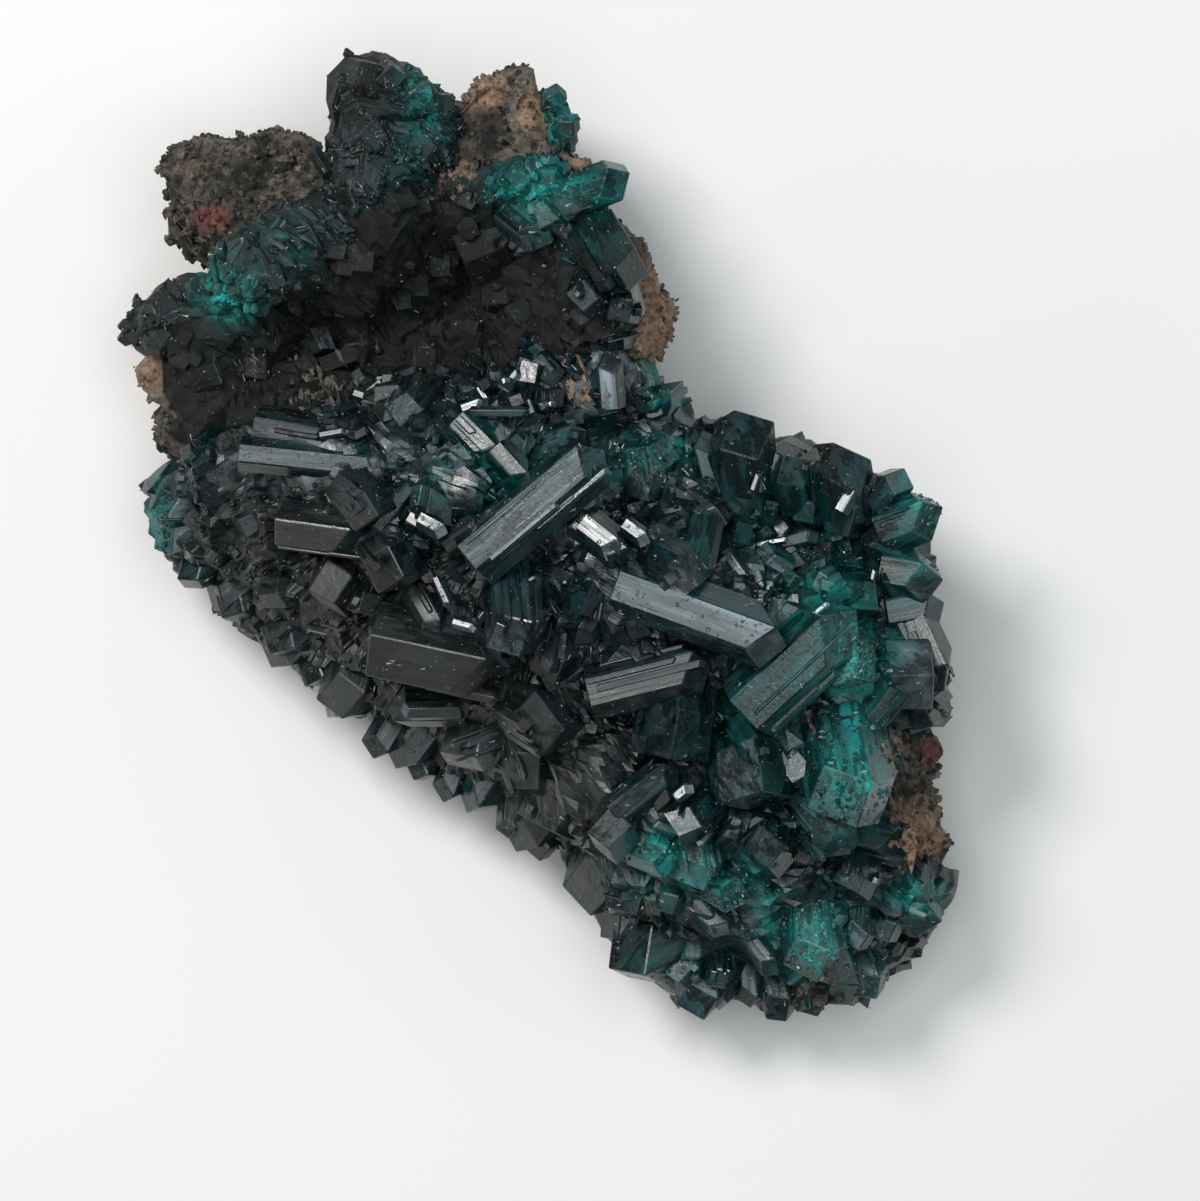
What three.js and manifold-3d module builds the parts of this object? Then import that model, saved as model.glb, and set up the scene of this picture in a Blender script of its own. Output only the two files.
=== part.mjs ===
// Dioptase: a hand specimen of dark green prismatic crystals on brown host rock, lying on its broken back.
// Millimetres, +Z up. The origin is the middle of the footprint, on the surface that the specimen rests on.
import * as THREE from "three";
import { mergeVertices } from "three/addons/utils/BufferGeometryUtils.js";
import Module from "manifold-3d";

const wasm = await Module();
wasm.setup();

// The plan is drawn on a sheet seen from above: x runs right and y runs down from its upper left corner.
const SHEET_ORIGIN = { x: 43.5, y: 42.4 }; // the point of that sheet from which the pieces are shaped
const TO_MIDDLE = { x: -0.05, y: 0.73 }; // the finished pieces' last move, which centres their footprint
const HUB = { x: 41.0, y: 41.5 }; // every point of the outline is in plain sight from here

// Host rock
const OUTLINE_INSET = 0.8; // the drawn outline goes round the crusts, and the rock lies this far inside it
const FOOT_SHARE = 0.76; // how far out the flat back reaches, as a share of the outline
const SIDE_RINGS = [
  // how far out each ring of the side reaches, and how high it stands as a share of the edge
  [0.87, 0.2],
  [0.95, 0.36],
  [1, 0.78],
];
const FACE_RINGS = 8;
const FACE_STARTS = 0.985; // how far out the outermost of those rings lies
const CROWDING = 1.15; // over 1, the rings crowd towards the edge
const THINNED_BELOW = [0.95, 0.5]; // where those rings are near enough the hub to halve their points
const SLOPE_STEP = 0.2; // plan distance over which the face's slope is measured
const STEEPEST = 2.2; // the most that a slope may multiply a vertical margin by
const EDGE_ONLY = 6; // how soon a sideways margin dies away from the edge inwards
const BREAKAGE = { depth: 1.5, step: 7.3, climb: 19 }; // how far the broken side strays, and how often
const TABLE_HEIGHT = 20.5; // the mean height of the crystal-bearing face
const LOWEST_EDGE = 6.0;
const EDGE_AT_MIDDLE = 12.5; // the edge of that face lies on a tilted plane, high at the upper right
const EDGE_SLOPE = { x: 0.12, y: 0.267 };
const ROUNDING = 3.2; // how late the face falls away to its edge

// Crystal crusts
const GAP = 0.3; // clear space between neighbouring pieces
const CRUST = 1.1; // depth of the fused roots of the crystals
const SKY = 60; // above everything
const RHOMB_SLOPE = Math.tan(THREE.MathUtils.degToRad(50.95)); // tilt of dioptase's three end faces
const SUNK_SHARE = 0.25; // how much of a standing crystal is rooted
const LYING_LIFT = 0.3; // how far a lying crystal's middle stands clear, as a share of its width
const MOST_END = 0.8; // the most of a short crystal that its end faces take

// Outline of the host rock, clockwise from the horn
const ROCK_OUTLINE = [
  [27.6, 4.8], [31.2, 5.4], [34.2, 7.8], [36.6, 7.8], [38.2, 5.6], [41.8, 5.2], [44.4, 7.0],
  [45.6, 11.0], [47.8, 13.2], [49.0, 16.8], [51.2, 19.2], [52.9, 22.1], [53.3, 25.6], [52.4, 29.4],
  [53.6, 32.6], [56.4, 35.2], [60.4, 36.2], [66.0, 37.4], [71.0, 39.4], [73.8, 43.4], [73.8, 48.0],
  [75.0, 53.0], [75.8, 58.6], [75.0, 63.4], [76.5, 67.6], [76.9, 70.8], [73.8, 75.0], [70.7, 78.9],
  [65.7, 80.3], [60.2, 80.5], [54.4, 79.0], [50.6, 75.4], [48.4, 71.0], [45.0, 67.4], [41.0, 64.2],
  [36.4, 61.2], [31.4, 57.8], [26.2, 54.4], [21.0, 50.2], [16.6, 46.0], [13.0, 41.6], [12.6, 37.6],
  [12.0, 33.4], [10.4, 29.6], [10.7, 24.8], [13.8, 23.3], [17.2, 22.6], [15.3, 18.8], [12.3, 16.2],
  [12.0, 12.4], [14.0, 10.4], [18.8, 10.6], [22.8, 10.5], [25.6, 12.0], [26.8, 13.6], [27.8, 9.4],
];

// Swellings and hollows of the crystal-bearing face: middle, half lengths, turn in degrees, rise
const RELIEF = {
  mainRidge: { at: [44, 43.5], reach: [25, 7.5], turn: -22, rise: 6 },
  flankShoulder: { at: [36, 53], reach: [12, 6], turn: -35, rise: 1.5 },
  hollow: { at: [26, 27.5], reach: [13, 5.6], turn: 14, rise: -13 },
  hollowHead: { at: [37.5, 21.5], reach: [7.5, 6], turn: 30, rise: -8 },
  rimBand: { at: [18.5, 22.6], reach: [9, 2.3], turn: 25, rise: 7 },
  hornRidge: { at: [30.2, 12], reach: [2.6, 9], turn: -6, rise: 7 },
  knob: { at: [19.5, 14.5], reach: [6, 4.2], turn: 0, rise: 2.5 },
  crest: { at: [41.5, 10.8], reach: [5, 4.5], turn: 0, rise: 5 },
  shoulder: { at: [48, 21.5], reach: [3.6, 8], turn: 25, rise: 6 },
  saddle: { at: [50, 33.5], reach: [7, 3.6], turn: -20, rise: -2 },
  rightBasin: { at: [64, 43.5], reach: [6.5, 4], turn: -15, rise: -5 },
  rightRidge: { at: [68.5, 55], reach: [5, 9], turn: 10, rise: 3.5 },
  lowerBasin: { at: [56, 57.5], reach: [8.5, 4.5], turn: 15, rise: -3 },
  foreRidge: { at: [58, 68], reach: [12, 4], turn: -25, rise: 2 },
};
const LUMPS = { wave: 7.5, rise: 0.45 };

// Outlines of the crusts, on the same sheet
const MAIN_DRUSE_OUTLINE = [
  [9, 38.4], [14, 36.8], [18.4, 34.4], [26.4, 32.2], [33.6, 30.8], [38.4, 29.8], [44, 27.6],
  [48, 27.4], [51.2, 29], [54.8, 33.4], [59, 31], [78, 33], [79, 57], [71.2, 58.8], [70.6, 65],
  [72.6, 68.6], [78, 70.2], [80, 78], [72, 84], [44, 84], [34, 68], [22, 58], [8, 45],
];
const HOLLOW_OUTLINE = [
  [14.6, 27.0], [19.4, 25.2], [27.6, 21.8], [31.6, 16.2], [37.8, 15.6], [41.2, 19.6], [45.2, 21.6],
  [47.4, 26.6], [43.8, 27], [38, 29.2], [33.4, 30.2], [26.2, 31.6], [18, 33.8], [15.2, 34.2],
];
const RIM_OUTLINE = [
  [9, 23.6], [12.6, 22], [16.6, 22.4], [18.2, 19.8], [23.4, 17], [26.6, 15], [26.4, 9], [25, 3],
  [34, 3], [36.6, 8], [36.4, 12.6], [31.8, 14.8], [27.2, 21], [19.2, 24.6], [12, 26.6], [9.6, 29],
];
const SHOULDER_OUTLINE = [
  [38.6, 13.8], [42.4, 12.4], [45.8, 13.4], [50.6, 12], [50.8, 17.4], [51.4, 20.8], [50.8, 26.2],
  [48.2, 26.8], [46, 21.2], [41.8, 19], [38.4, 15.2],
];
const CREST_OUTLINE = [[42.6, 5], [46.4, 6.6], [48, 11.6], [45.8, 12.6], [43.8, 11.6], [43.4, 8.4]];

// Crystals: x, y of the middle on the sheet, heading and rise in degrees, length, width, and the turn about
// its own axis in degrees
const MAIN_CRYSTALS = [
  // the tall ridge, from the left
  [25.6, 37.0, -6, 3, 12.4, 3.0, 0], [23.9, 34.8, -10, 10, 6.5, 4.2, 8],
  [26.6, 42.6, -8, 15, 8, 4.6, 20], [29.4, 40.4, -40, 55, 5.6, 4.6, 10],
  [31.4, 31.0, 28, 8, 6.4, 2.6, 0], [31.6, 45.0, -50, 62, 6.5, 5.0, 15],
  [38.6, 35.6, -45, 20, 5, 3.4, 0], [41.1, 37.5, -48, 10, 4, 2.6, 0],
  [43.2, 40.6, 40, 6, 13.6, 5.0, -12], [44.8, 35.4, 20, 20, 5, 3.2, 0],
  [48.6, 30.5, 95, 10, 4.6, 3.0, 0], [52.4, 36.6, 60, 40, 5, 4, 0], [51.4, 38.6, -80, 50, 5, 3.6, 0],
  [48.3, 43.4, -38, 12, 5.5, 3.6, 0], [41.4, 49.0, -85, 35, 8.5, 5.4, 0],
  [54.0, 45.8, -30, 45, 6, 4.8, 0], [56.0, 49.2, -20, 2, 14.4, 5.2, 0],
  // the left flank
  [27.2, 46.6, -100, 55, 6, 4.6, 0], [19.2, 48.0, -140, 20, 5, 3.4, 0],
  [23.4, 50.6, -140, 25, 6, 4.4, 0], [16.0, 43.6, 170, 25, 5, 3.6, 0],
  [13.8, 40.8, 180, 12, 4.5, 4.0, 0], [28.2, 54.0, -105, 20, 8, 5.4, 0],
  [30.8, 58.8, -120, 10, 5, 3.4, 0], [35.6, 52.2, -12, 8, 11, 7.2, 26],
  [34.4, 49.0, -60, 20, 4.5, 3.0, 0], [38.2, 59.0, 200, 18, 7, 5.6, 0],
  [43.6, 57.4, -30, 58, 7, 6.0, 0], [42.2, 60.8, -70, 30, 6, 4.6, 0],
  [44.6, 64.2, -95, 48, 7.5, 6.2, 0], [49.2, 66.2, -110, 60, 6.5, 4.4, 0],
  [48.2, 69.8, -105, 12, 8, 6.0, 0], [14.2, 43.0, 200, -5, 5, 4.2, 0],
  [18.5, 47.3, 220, -12, 5, 4.2, 10], [23.4, 51.4, 225, -8, 6, 4.6, 0],
  [27.8, 55.8, 222, -14, 5.5, 4.4, 20], [33.2, 59.4, 232, -8, 6, 4.6, 0],
  [38.6, 63.0, 238, -5, 5.5, 4.2, 10], [42.8, 66.4, 232, -12, 5.5, 4.6, 0],
  [15.7, 45.4, 205, 20, 4.5, 3.6, 0], [25.4, 53.0, 240, 25, 5, 3.8, 0],
  // the lower basin and the fore edge
  [50.2, 73.8, 215, -8, 5.5, 4.4, 0], [58.0, 79.0, 262, -12, 5, 4.2, 15],
  [67.6, 78.4, 290, -8, 5.5, 4.4, 0], [54.0, 58.0, -100, 45, 7.6, 7.2, 30],
  [52.0, 54.0, 14, 6, 10, 4.8, 0], [60.0, 61.6, -60, 62, 7.5, 7.0, 0],
  [51.8, 63.0, 38, 12, 6.5, 3.2, 0], [55.4, 65.4, -130, 48, 5.5, 4.2, 0],
  [55.8, 68.5, -80, 25, 6, 4.2, 0], [61.6, 68.0, -100, 60, 5, 4.6, 0],
  [58.2, 70.8, -30, 40, 5.5, 4.0, 0], [52.0, 76.2, -155, 22, 8, 6.8, 0],
  [56.9, 73.5, -40, 25, 4.6, 2.6, 0], [60.8, 76.2, -52, 15, 5.4, 2.4, 0],
  [55.0, 77.2, -110, 40, 5, 3.8, 0], [57.8, 77.6, -80, 35, 4.5, 3.0, 0],
  [56.4, 79.7, -90, 10, 5, 4.8, 0], [62.6, 80.4, -75, 15, 4, 3.4, 0], [65.5, 80.0, -85, 20, 4, 3.6, 0],
  [65.1, 75.2, -85, 28, 8, 5.4, 0], [69.0, 74.0, -95, 20, 5, 3.2, 0],
  [71.2, 74.0, -90, 45, 4.5, 3.0, 0], [69.6, 78.2, -70, 20, 5, 4, 0], [73.4, 73.2, -20, 15, 5, 4, 0],
  // the right ridge
  [64.0, 52.8, 43, 10, 12, 6.4, 0], [67.7, 53.0, -60, 62, 6, 5.0, 0],
  [67.6, 62.0, -80, 35, 10, 7.6, 0], [66.2, 66.2, -50, 35, 6.5, 5.0, 0],
  [70.8, 67.0, -15, 25, 6, 4.4, 0], [68.6, 69.8, -90, 50, 5, 4, 0], [72.2, 54.0, 0, 48, 7.2, 6.6, 30],
  [73.8, 51.6, -65, 12, 8.5, 4.6, 0], [73.4, 57.0, -40, 40, 4.5, 3.4, 0],
  [73.2, 48.6, 10, -5, 5, 4.2, 0], [74.0, 55.4, -10, -8, 5, 4.0, 10],
  // the ring round the right basin
  [56.8, 36.8, 105, 5, 5, 4.2, 0], [62.4, 37.4, 85, 0, 4.5, 3.6, 0], [59.0, 36.6, 95, 28, 8.5, 6.4, 0],
  [63.0, 38.3, 100, 40, 5, 4.4, 0], [64.8, 38.0, 60, 45, 4.6, 3.4, 0],
  [67.0, 38.2, 100, 30, 6.5, 5.6, 0], [67.6, 40.0, 75, 30, 5, 3.4, 0], [71.1, 38.9, 50, 20, 4, 3.4, 0],
  [72.9, 41.5, 20, 15, 5.5, 4.4, 0], [73.1, 46.0, -10, 15, 5, 4.4, 0],
  [68.0, 47.6, 30, 40, 5.5, 4.4, 0],
];
const HOLLOW_CRYSTALS = [
  [28.6, 28.0, -70, 60, 5.5, 4.0, 0], [24.6, 27.0, -40, 60, 5, 3.6, 0],
  [20.0, 29.0, 20, 55, 4.5, 3.4, 0], [16.0, 30.0, 40, 50, 4.5, 3.2, 0],
  [32.4, 25.6, -120, 55, 5, 4.2, 0], [38.6, 19.4, -130, 50, 7, 6.4, 0],
  [35.0, 21.4, -60, 60, 5, 4.0, 0], [40.0, 23.4, -150, 45, 5, 3.8, 0],
  [36.6, 26.8, 110, 50, 4.6, 3.2, 0], [42.0, 25.4, 150, 45, 5, 3.6, 0],
  [22.6, 31.2, 90, 50, 4.4, 3.0, 0],
];
const RIM_CRYSTALS = [
  [29.2, 6.8, 100, 55, 5.2, 3.8, 0], [31.0, 6.8, 70, 60, 5, 3.2, 0], [33.4, 8.6, 40, 50, 5, 3.6, 0],
  [30.2, 11.6, 150, 60, 4.4, 3.2, 0], [33.6, 11.6, -20, 50, 4.6, 3.2, 0],
  [28.8, 16.0, 140, 60, 4.4, 3.2, 0], [25.0, 20.0, -60, 60, 4.0, 3.0, 0],
  [19.4, 21.8, 120, 65, 4.2, 3.2, 0], [15.6, 23.8, 110, 50, 4.2, 3.2, 0],
  [13.3, 24.9, 150, 45, 4.4, 3.4, 0], [13.0, 27.2, 190, 35, 4.0, 3.0, 0],
];
const SHOULDER_CRYSTALS = [
  [48.2, 15.0, 20, 30, 5.4, 4.2, 0], [48.8, 21.2, -60, 35, 7.2, 5.6, 30],
  [42.6, 18.2, -40, 35, 5.5, 4.6, 0], [41.4, 14.8, 160, 60, 4, 3.0, 0],
  [45.4, 16.4, -30, 50, 4.6, 3.4, 0], [49.8, 24.6, -75, 45, 4.6, 3.6, 0],
  [47.2, 23.8, -110, 50, 5, 4.0, 0],
];
const CREST_CRYSTALS = [[44.4, 8.2, 60, 72, 3.6, 2.6, 0], [45.2, 10.4, 20, 66, 3.6, 2.8, 0]];

const rad = THREE.MathUtils.degToRad;

// A point of the sheet in the plan that the pieces are shaped in.
function fromSheet([x, y]) {
  return [x - SHEET_ORIGIN.x, SHEET_ORIGIN.y - y];
}

const hub = fromSheet([HUB.x, HUB.y]);
const rockOutline = ROCK_OUTLINE.map(fromSheet).map(([x, y]) => {
  const share = 1 - OUTLINE_INSET / Math.hypot(x - hub[0], y - hub[1]);
  return [hub[0] + share * (x - hub[0]), hub[1] + share * (y - hub[1])];
});
const relief = Object.values(RELIEF).map((r) => ({ ...r, at: fromSheet(r.at) }));

// Where a plan point lies between the hub, at 0, and the outline, at 1.
function outwardShare(x, y) {
  const [dx, dy] = [x - hub[0], y - hub[1]];
  for (let i = 0; i < rockOutline.length; i++) {
    const a = rockOutline[i];
    const b = rockOutline[(i + 1) % rockOutline.length];
    const [ax, ay, bx, by] = [a[0] - hub[0], a[1] - hub[1], b[0] - hub[0], b[1] - hub[1]];
    const whole = ax * by - ay * bx;
    const alongA = (dx * by - dy * bx) / whole;
    const alongB = (ax * dy - ay * dx) / whole;
    if (alongA >= -1e-9 && alongB >= -1e-9) return alongA + alongB;
  }
  return 0;
}

// The face's height in its middle part: a table with smooth bell-shaped swellings and hollows.
function innerHeight(x, y) {
  const swellings = relief.map(({ at, reach, turn, rise }) => {
    const [c, s] = [Math.cos(rad(turn)), Math.sin(rad(turn))];
    const [dx, dy] = [x - at[0], y - at[1]];
    const [u, v] = [(dx * c + dy * s) / reach[0], (dy * c - dx * s) / reach[1]];
    return rise * Math.exp(-(u * u + v * v));
  });
  const k = (2 * Math.PI) / LUMPS.wave;
  const lumps = LUMPS.rise * (Math.sin(k * (x + 0.6 * y)) + Math.sin(k * (y - 0.7 * x) + 1.3));
  return TABLE_HEIGHT + swellings.reduce((a, b) => a + b, 0) + lumps;
}

function edgeHeight(x, y) {
  return Math.max(LOWEST_EDGE, EDGE_AT_MIDDLE + EDGE_SLOPE.x * x + EDGE_SLOPE.y * y);
}

// The height of the crystal-bearing face over a plan point, held at its edge height beyond the outline.
function faceHeight(x, y) {
  const share = Math.min(1, outwardShare(x, y));
  const inside = 1 - share ** ROUNDING;
  return edgeHeight(x, y) * (1 - inside) + innerHeight(x, y) * inside;
}

// A closed surface through rings of points between two end points.
// A ring may have half the points of the one before.
function ringSurface(firstEnd, rings, lastEnd) {
  const positions = [firstEnd, ...rings.flat(), lastEnd].flat();
  const starts = rings.map((_, r) => 1 + rings.slice(0, r).reduce((sum, ring) => sum + ring.length, 0));
  const last = positions.length / 3 - 1;
  const index = [];
  for (let i = 0; i < rings[0].length; i++) index.push(0, 1 + i, 1 + ((i + 1) % rings[0].length));
  for (let r = 0; r < rings.length - 1; r++) {
    const [outer, inner] = [rings[r].length, rings[r + 1].length];
    const a = (i) => starts[r] + (i % outer);
    const b = (i) => starts[r + 1] + (i % inner);
    for (let i = 0; i < inner; i++) {
      if (inner === outer) index.push(a(i), b(i), a(i + 1), a(i + 1), b(i), b(i + 1));
      else {
        index.push(a(2 * i), b(i), a(2 * i + 1), a(2 * i + 1), b(i), b(i + 1));
        index.push(a(2 * i + 1), b(i + 1), a(2 * i + 2));
      }
    }
  }
  const end = rings.at(-1).length;
  for (let i = 0; i < end; i++) index.push(last, starts.at(-1) + ((i + 1) % end), starts.at(-1) + i);
  return new THREE.BufferGeometry()
    .setAttribute("position", new THREE.Float32BufferAttribute(positions, 3))
    .setIndex(index);
}

// The face's height after it has grown by a margin square to itself.
function grownFaceHeight(x, y, margin) {
  const slopeX = (faceHeight(x + SLOPE_STEP, y) - faceHeight(x - SLOPE_STEP, y)) / (2 * SLOPE_STEP);
  const slopeY = (faceHeight(x, y + SLOPE_STEP) - faceHeight(x, y - SLOPE_STEP)) / (2 * SLOPE_STEP);
  return faceHeight(x, y) + margin * Math.min(STEEPEST, Math.hypot(1, slopeX, slopeY));
}

// The host rock grown outwards by a margin: flat back, broken side, then rings over the face to the hub.
function rockGeometry(margin) {
  const ring = (outline, share, sideways, heightOf) =>
    outline.map(([x, y]) => {
      const [dx, dy] = [x - hub[0], y - hub[1]];
      const reach = share + sideways / Math.hypot(dx, dy);
      const [px, py] = [hub[0] + reach * dx, hub[1] + reach * dy];
      return [px, py, heightOf(hub[0] + share * dx, hub[1] + share * dy)];
    });
  const rings = [ring(rockOutline, FOOT_SHARE, margin, () => -margin)];
  for (const [share, rise] of SIDE_RINGS) {
    const straying = rockOutline.map(([x, y], i) => {
      const out = BREAKAGE.depth * (1 - rise) * Math.sin(BREAKAGE.step * i + BREAKAGE.climb * rise);
      const stray = 1 + out / Math.hypot(x - hub[0], y - hub[1]);
      return [hub[0] + stray * (x - hub[0]), hub[1] + stray * (y - hub[1])];
    });
    rings.push(ring(straying, share, margin, (x, y) => rise * edgeHeight(x, y)));
  }
  for (let r = 0; r < FACE_RINGS; r++) {
    const share = FACE_STARTS * (1 - (r / FACE_RINGS) ** CROWDING);
    const every = 2 ** THINNED_BELOW.filter((limit) => share < limit).length;
    const outline = rockOutline.filter((_, i) => i % every === 0);
    rings.push(ring(outline, share, margin * share ** EDGE_ONLY, (x, y) => grownFaceHeight(x, y, margin)));
  }
  return ringSurface([...hub, -margin], rings, [...hub, grownFaceHeight(...hub, margin)]);
}

// One dioptase crystal standing on its root: a six-sided prism whose three end faces slope from the tip,
// each over one edge of the prism.
function crystalGeometry(length, width) {
  const radius = width / 2;
  const corner = (k, z) => [radius * Math.cos(rad(60 * k + 30)), radius * Math.sin(rad(60 * k + 30)), z];
  const endDrop = Math.min(MOST_END * length, radius * RHOMB_SLOPE);
  const roots = [0, 1, 2, 3, 4, 5].map((k) => corner(k, 0));
  const shoulders = [0, 1, 2, 3, 4, 5].map((k) => corner(k, length - endDrop * (k % 2 ? 0.5 : 1)));
  const corners = [...roots, ...shoulders, [0, 0, length]];
  const index = [];
  for (let k = 0; k < 6; k++) {
    const next = (k + 1) % 6;
    index.push(k, next, 6 + k, next, 6 + next, 6 + k);
    if (k > 0 && k < 5) index.push(0, k + 1, k);
    if (k % 2 === 0) index.push(12, 6 + ((k + 5) % 6), 6 + k, 12, 6 + k, 6 + next);
  }
  return new THREE.BufferGeometry()
    .setAttribute("position", new THREE.Float32BufferAttribute(corners.flat(), 3))
    .setIndex(index);
}

// Puts a crystal in its place on the face, with one side of its prism facing up when its turn is 0.
function placedCrystal([sheetX, sheetY, heading, rise, length, width, turn], margin) {
  const [x, y] = fromSheet([sheetX, sheetY]);
  const [h, e] = [rad(heading), rad(rise)];
  const axis = new THREE.Vector3(Math.cos(e) * Math.cos(h), Math.cos(e) * Math.sin(h), Math.sin(e));
  const up = new THREE.Vector3(-Math.sin(e) * Math.cos(h), -Math.sin(e) * Math.sin(h), Math.cos(e));
  const side = new THREE.Vector3().crossVectors(axis, up);
  const lift = LYING_LIFT * width * Math.cos(e) + (0.5 - SUNK_SHARE) * length * Math.sin(e);
  const middle = new THREE.Vector3(x, y, faceHeight(x, y) + GAP + CRUST + lift);
  const root = middle.addScaledVector(axis, -length / 2);
  return crystalGeometry(length + 2 * margin, width + 2 * margin)
    .translate(0, 0, -margin)
    .rotateZ(rad(turn))
    .applyMatrix4(new THREE.Matrix4().makeBasis(up, side, axis).setPosition(root));
}

// A column over an outline, from a floor that follows the rock's edge at some depth to above everything.
function columnGeometry(outline, margin, depth) {
  const points = outline.map(fromSheet).map(([x, y]) => new THREE.Vector2(x, y));
  const middle = points.reduce((sum, p) => sum.add(p), new THREE.Vector2()).divideScalar(points.length);
  const grown = points.map((p) => p.clone().add(p.clone().sub(middle).setLength(margin)));
  const column = new THREE.ExtrudeGeometry(new THREE.Shape(grown), { depth: SKY, bevelEnabled: false });
  const position = column.attributes.position;
  for (let i = 0; i < position.count; i++) {
    if (position.getZ(i) > 0) continue;
    const edge = edgeHeight(position.getX(i), position.getY(i));
    position.setZ(i, edge - depth - margin);
  }
  return column;
}

function solidOf(geometry) {
  const bare = geometry.clone();
  bare.deleteAttribute("normal");
  bare.deleteAttribute("uv");
  const merged = mergeVertices(bare, 1e-4);
  const vertProperties = merged.attributes.position.array;
  const triVerts = new Uint32Array(merged.index.array);
  return new wasm.Manifold(new wasm.Mesh({ numProp: 3, vertProperties, triVerts }));
}

function geometryOf(solid) {
  const { vertProperties, triVerts, numProp } = solid.getMesh();
  if (numProp !== 3) throw new Error("a solid carries more than positions");
  return new THREE.BufferGeometry()
    .setAttribute("position", new THREE.BufferAttribute(new Float32Array(vertProperties), 3))
    .setIndex(new THREE.BufferAttribute(new Uint32Array(triVerts), 1));
}

// Crystals fused to the crust that they grow from, before anything is cut away.
function grownCrust({ outline, crystals, depth }, margin) {
  const skin = solidOf(rockGeometry(GAP + CRUST + margin));
  const roots = skin.intersect(solidOf(columnGeometry(outline, margin, depth)));
  return wasm.Manifold.union([roots, ...crystals.map((row) => solidOf(placedCrystal(row, margin)))]);
}

// The largest connected part: what a neighbour cuts off a crystal's far side is dropped.
function mainPart(solid) {
  return solid.decompose().reduce((best, s) => (s.volume() > best.volume() ? s : best));
}

const GREEN = new THREE.MeshStandardMaterial({ color: 0x06312f, roughness: 0.22, metalness: 0 });
const TEAL = new THREE.MeshStandardMaterial({ color: 0x0d6e63, roughness: 0.4, metalness: 0 });
const ROCK = new THREE.MeshStandardMaterial({ color: 0x7d6a57, roughness: 0.9, metalness: 0 });

// Growing order: a later crust gives way to the earlier ones.
const CRUSTS = [
  { name: "main_druse", crystals: MAIN_CRYSTALS, outline: MAIN_DRUSE_OUTLINE, depth: 3, look: GREEN },
  { name: "shoulder_druse", crystals: SHOULDER_CRYSTALS, outline: SHOULDER_OUTLINE, depth: 4, look: GREEN },
  { name: "rim_druse", crystals: RIM_CRYSTALS, outline: RIM_OUTLINE, depth: 5, look: TEAL },
  { name: "crest_druse", crystals: CREST_CRYSTALS, outline: CREST_OUTLINE, depth: 5, look: TEAL },
  { name: "hollow_crust", crystals: HOLLOW_CRYSTALS, outline: HOLLOW_OUTLINE, depth: 12, look: GREEN },
];

const specimen = new THREE.Group();
specimen.name = "dioptase_specimen";

function addPiece(name, geometry, material) {
  const mesh = new THREE.Mesh(geometry.translate(TO_MIDDLE.x, TO_MIDDLE.y, 0), material);
  mesh.name = name;
  specimen.add(mesh);
}

addPiece("host_rock", rockGeometry(0), ROCK);
const clearance = solidOf(rockGeometry(GAP));
let taken = clearance;
for (const crust of CRUSTS) {
  addPiece(crust.name, geometryOf(mainPart(grownCrust(crust, 0).subtract(taken))), crust.look);
  taken = taken.add(grownCrust(crust, GAP));
}

export default specimen;
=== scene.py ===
"""The looks of a dioptase hand specimen: dark green prisms crusted over brown host rock, seen from above.

It is laid out as an add-on and run as a script. Lengths in the tables are in millimetres.
"""

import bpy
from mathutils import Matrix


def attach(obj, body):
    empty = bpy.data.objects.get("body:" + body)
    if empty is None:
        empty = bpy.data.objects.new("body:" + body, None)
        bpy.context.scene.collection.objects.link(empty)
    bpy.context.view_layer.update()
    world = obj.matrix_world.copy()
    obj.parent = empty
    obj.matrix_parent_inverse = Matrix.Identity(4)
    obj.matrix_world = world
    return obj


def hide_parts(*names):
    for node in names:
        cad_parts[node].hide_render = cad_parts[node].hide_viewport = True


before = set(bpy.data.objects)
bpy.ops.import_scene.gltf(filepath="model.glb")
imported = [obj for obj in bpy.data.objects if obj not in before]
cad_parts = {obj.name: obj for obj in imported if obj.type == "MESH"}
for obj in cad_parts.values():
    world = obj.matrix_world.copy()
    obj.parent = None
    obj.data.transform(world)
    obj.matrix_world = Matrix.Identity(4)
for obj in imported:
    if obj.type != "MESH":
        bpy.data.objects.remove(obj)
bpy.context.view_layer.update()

import itertools

import bpy
import numpy as np
from bpy.props import FloatProperty, FloatVectorProperty, PointerProperty
from mathutils import Vector

bl_info = {
    "name": "Dioptase specimen",
    "version": (1, 0, 0),
    "blender": (4, 5, 0),
    "location": "View3D > Sidebar > Specimen",
    "description": "Crystals, host rock and stage of a dioptase hand specimen",
    "category": "Object",
}

MM = 0.001
RNG_SEED = 20
ROCK_ROWS = (600, 86, 44, 16)  # columns round the rock, then rows on its face, its side and its back
SKIN_ROWS = (480, 92, 26, 2)
ROCK_GRAINS = (7500, (0.16, 1.0))  # how many, and their least and greatest widths
ROCK_RADIUS = 35  # about half the rock's width, which turns a share of it into millimetres
UPPER_SITES = 4000  # places tried on the crystals' upper faces for dust and chips

# The plan is drawn on a sheet seen from above: x runs right and y runs down from its upper left corner.
SHEET_ORIGIN = np.array([43.5, 42.4])
TO_MIDDLE = np.array([-0.05, 0.73, 0.0])  # the finished pieces' last move, which centres their footprint
HUB = np.array([41.0, 41.5])

# Host rock, as in the part's source
OUTLINE_INSET = 0.8
FOOT_SHARE = 0.76
SIDE_RINGS = [(0.985, None), (1, 0.78), (0.95, 0.36), (0.87, 0.2), (FOOT_SHARE, 0)]
TABLE_HEIGHT = 20.5
LOWEST_EDGE = 6.0
EDGE_AT_MIDDLE = 12.5
EDGE_SLOPE = (0.12, 0.267)
ROUNDING = 3.2

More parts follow.
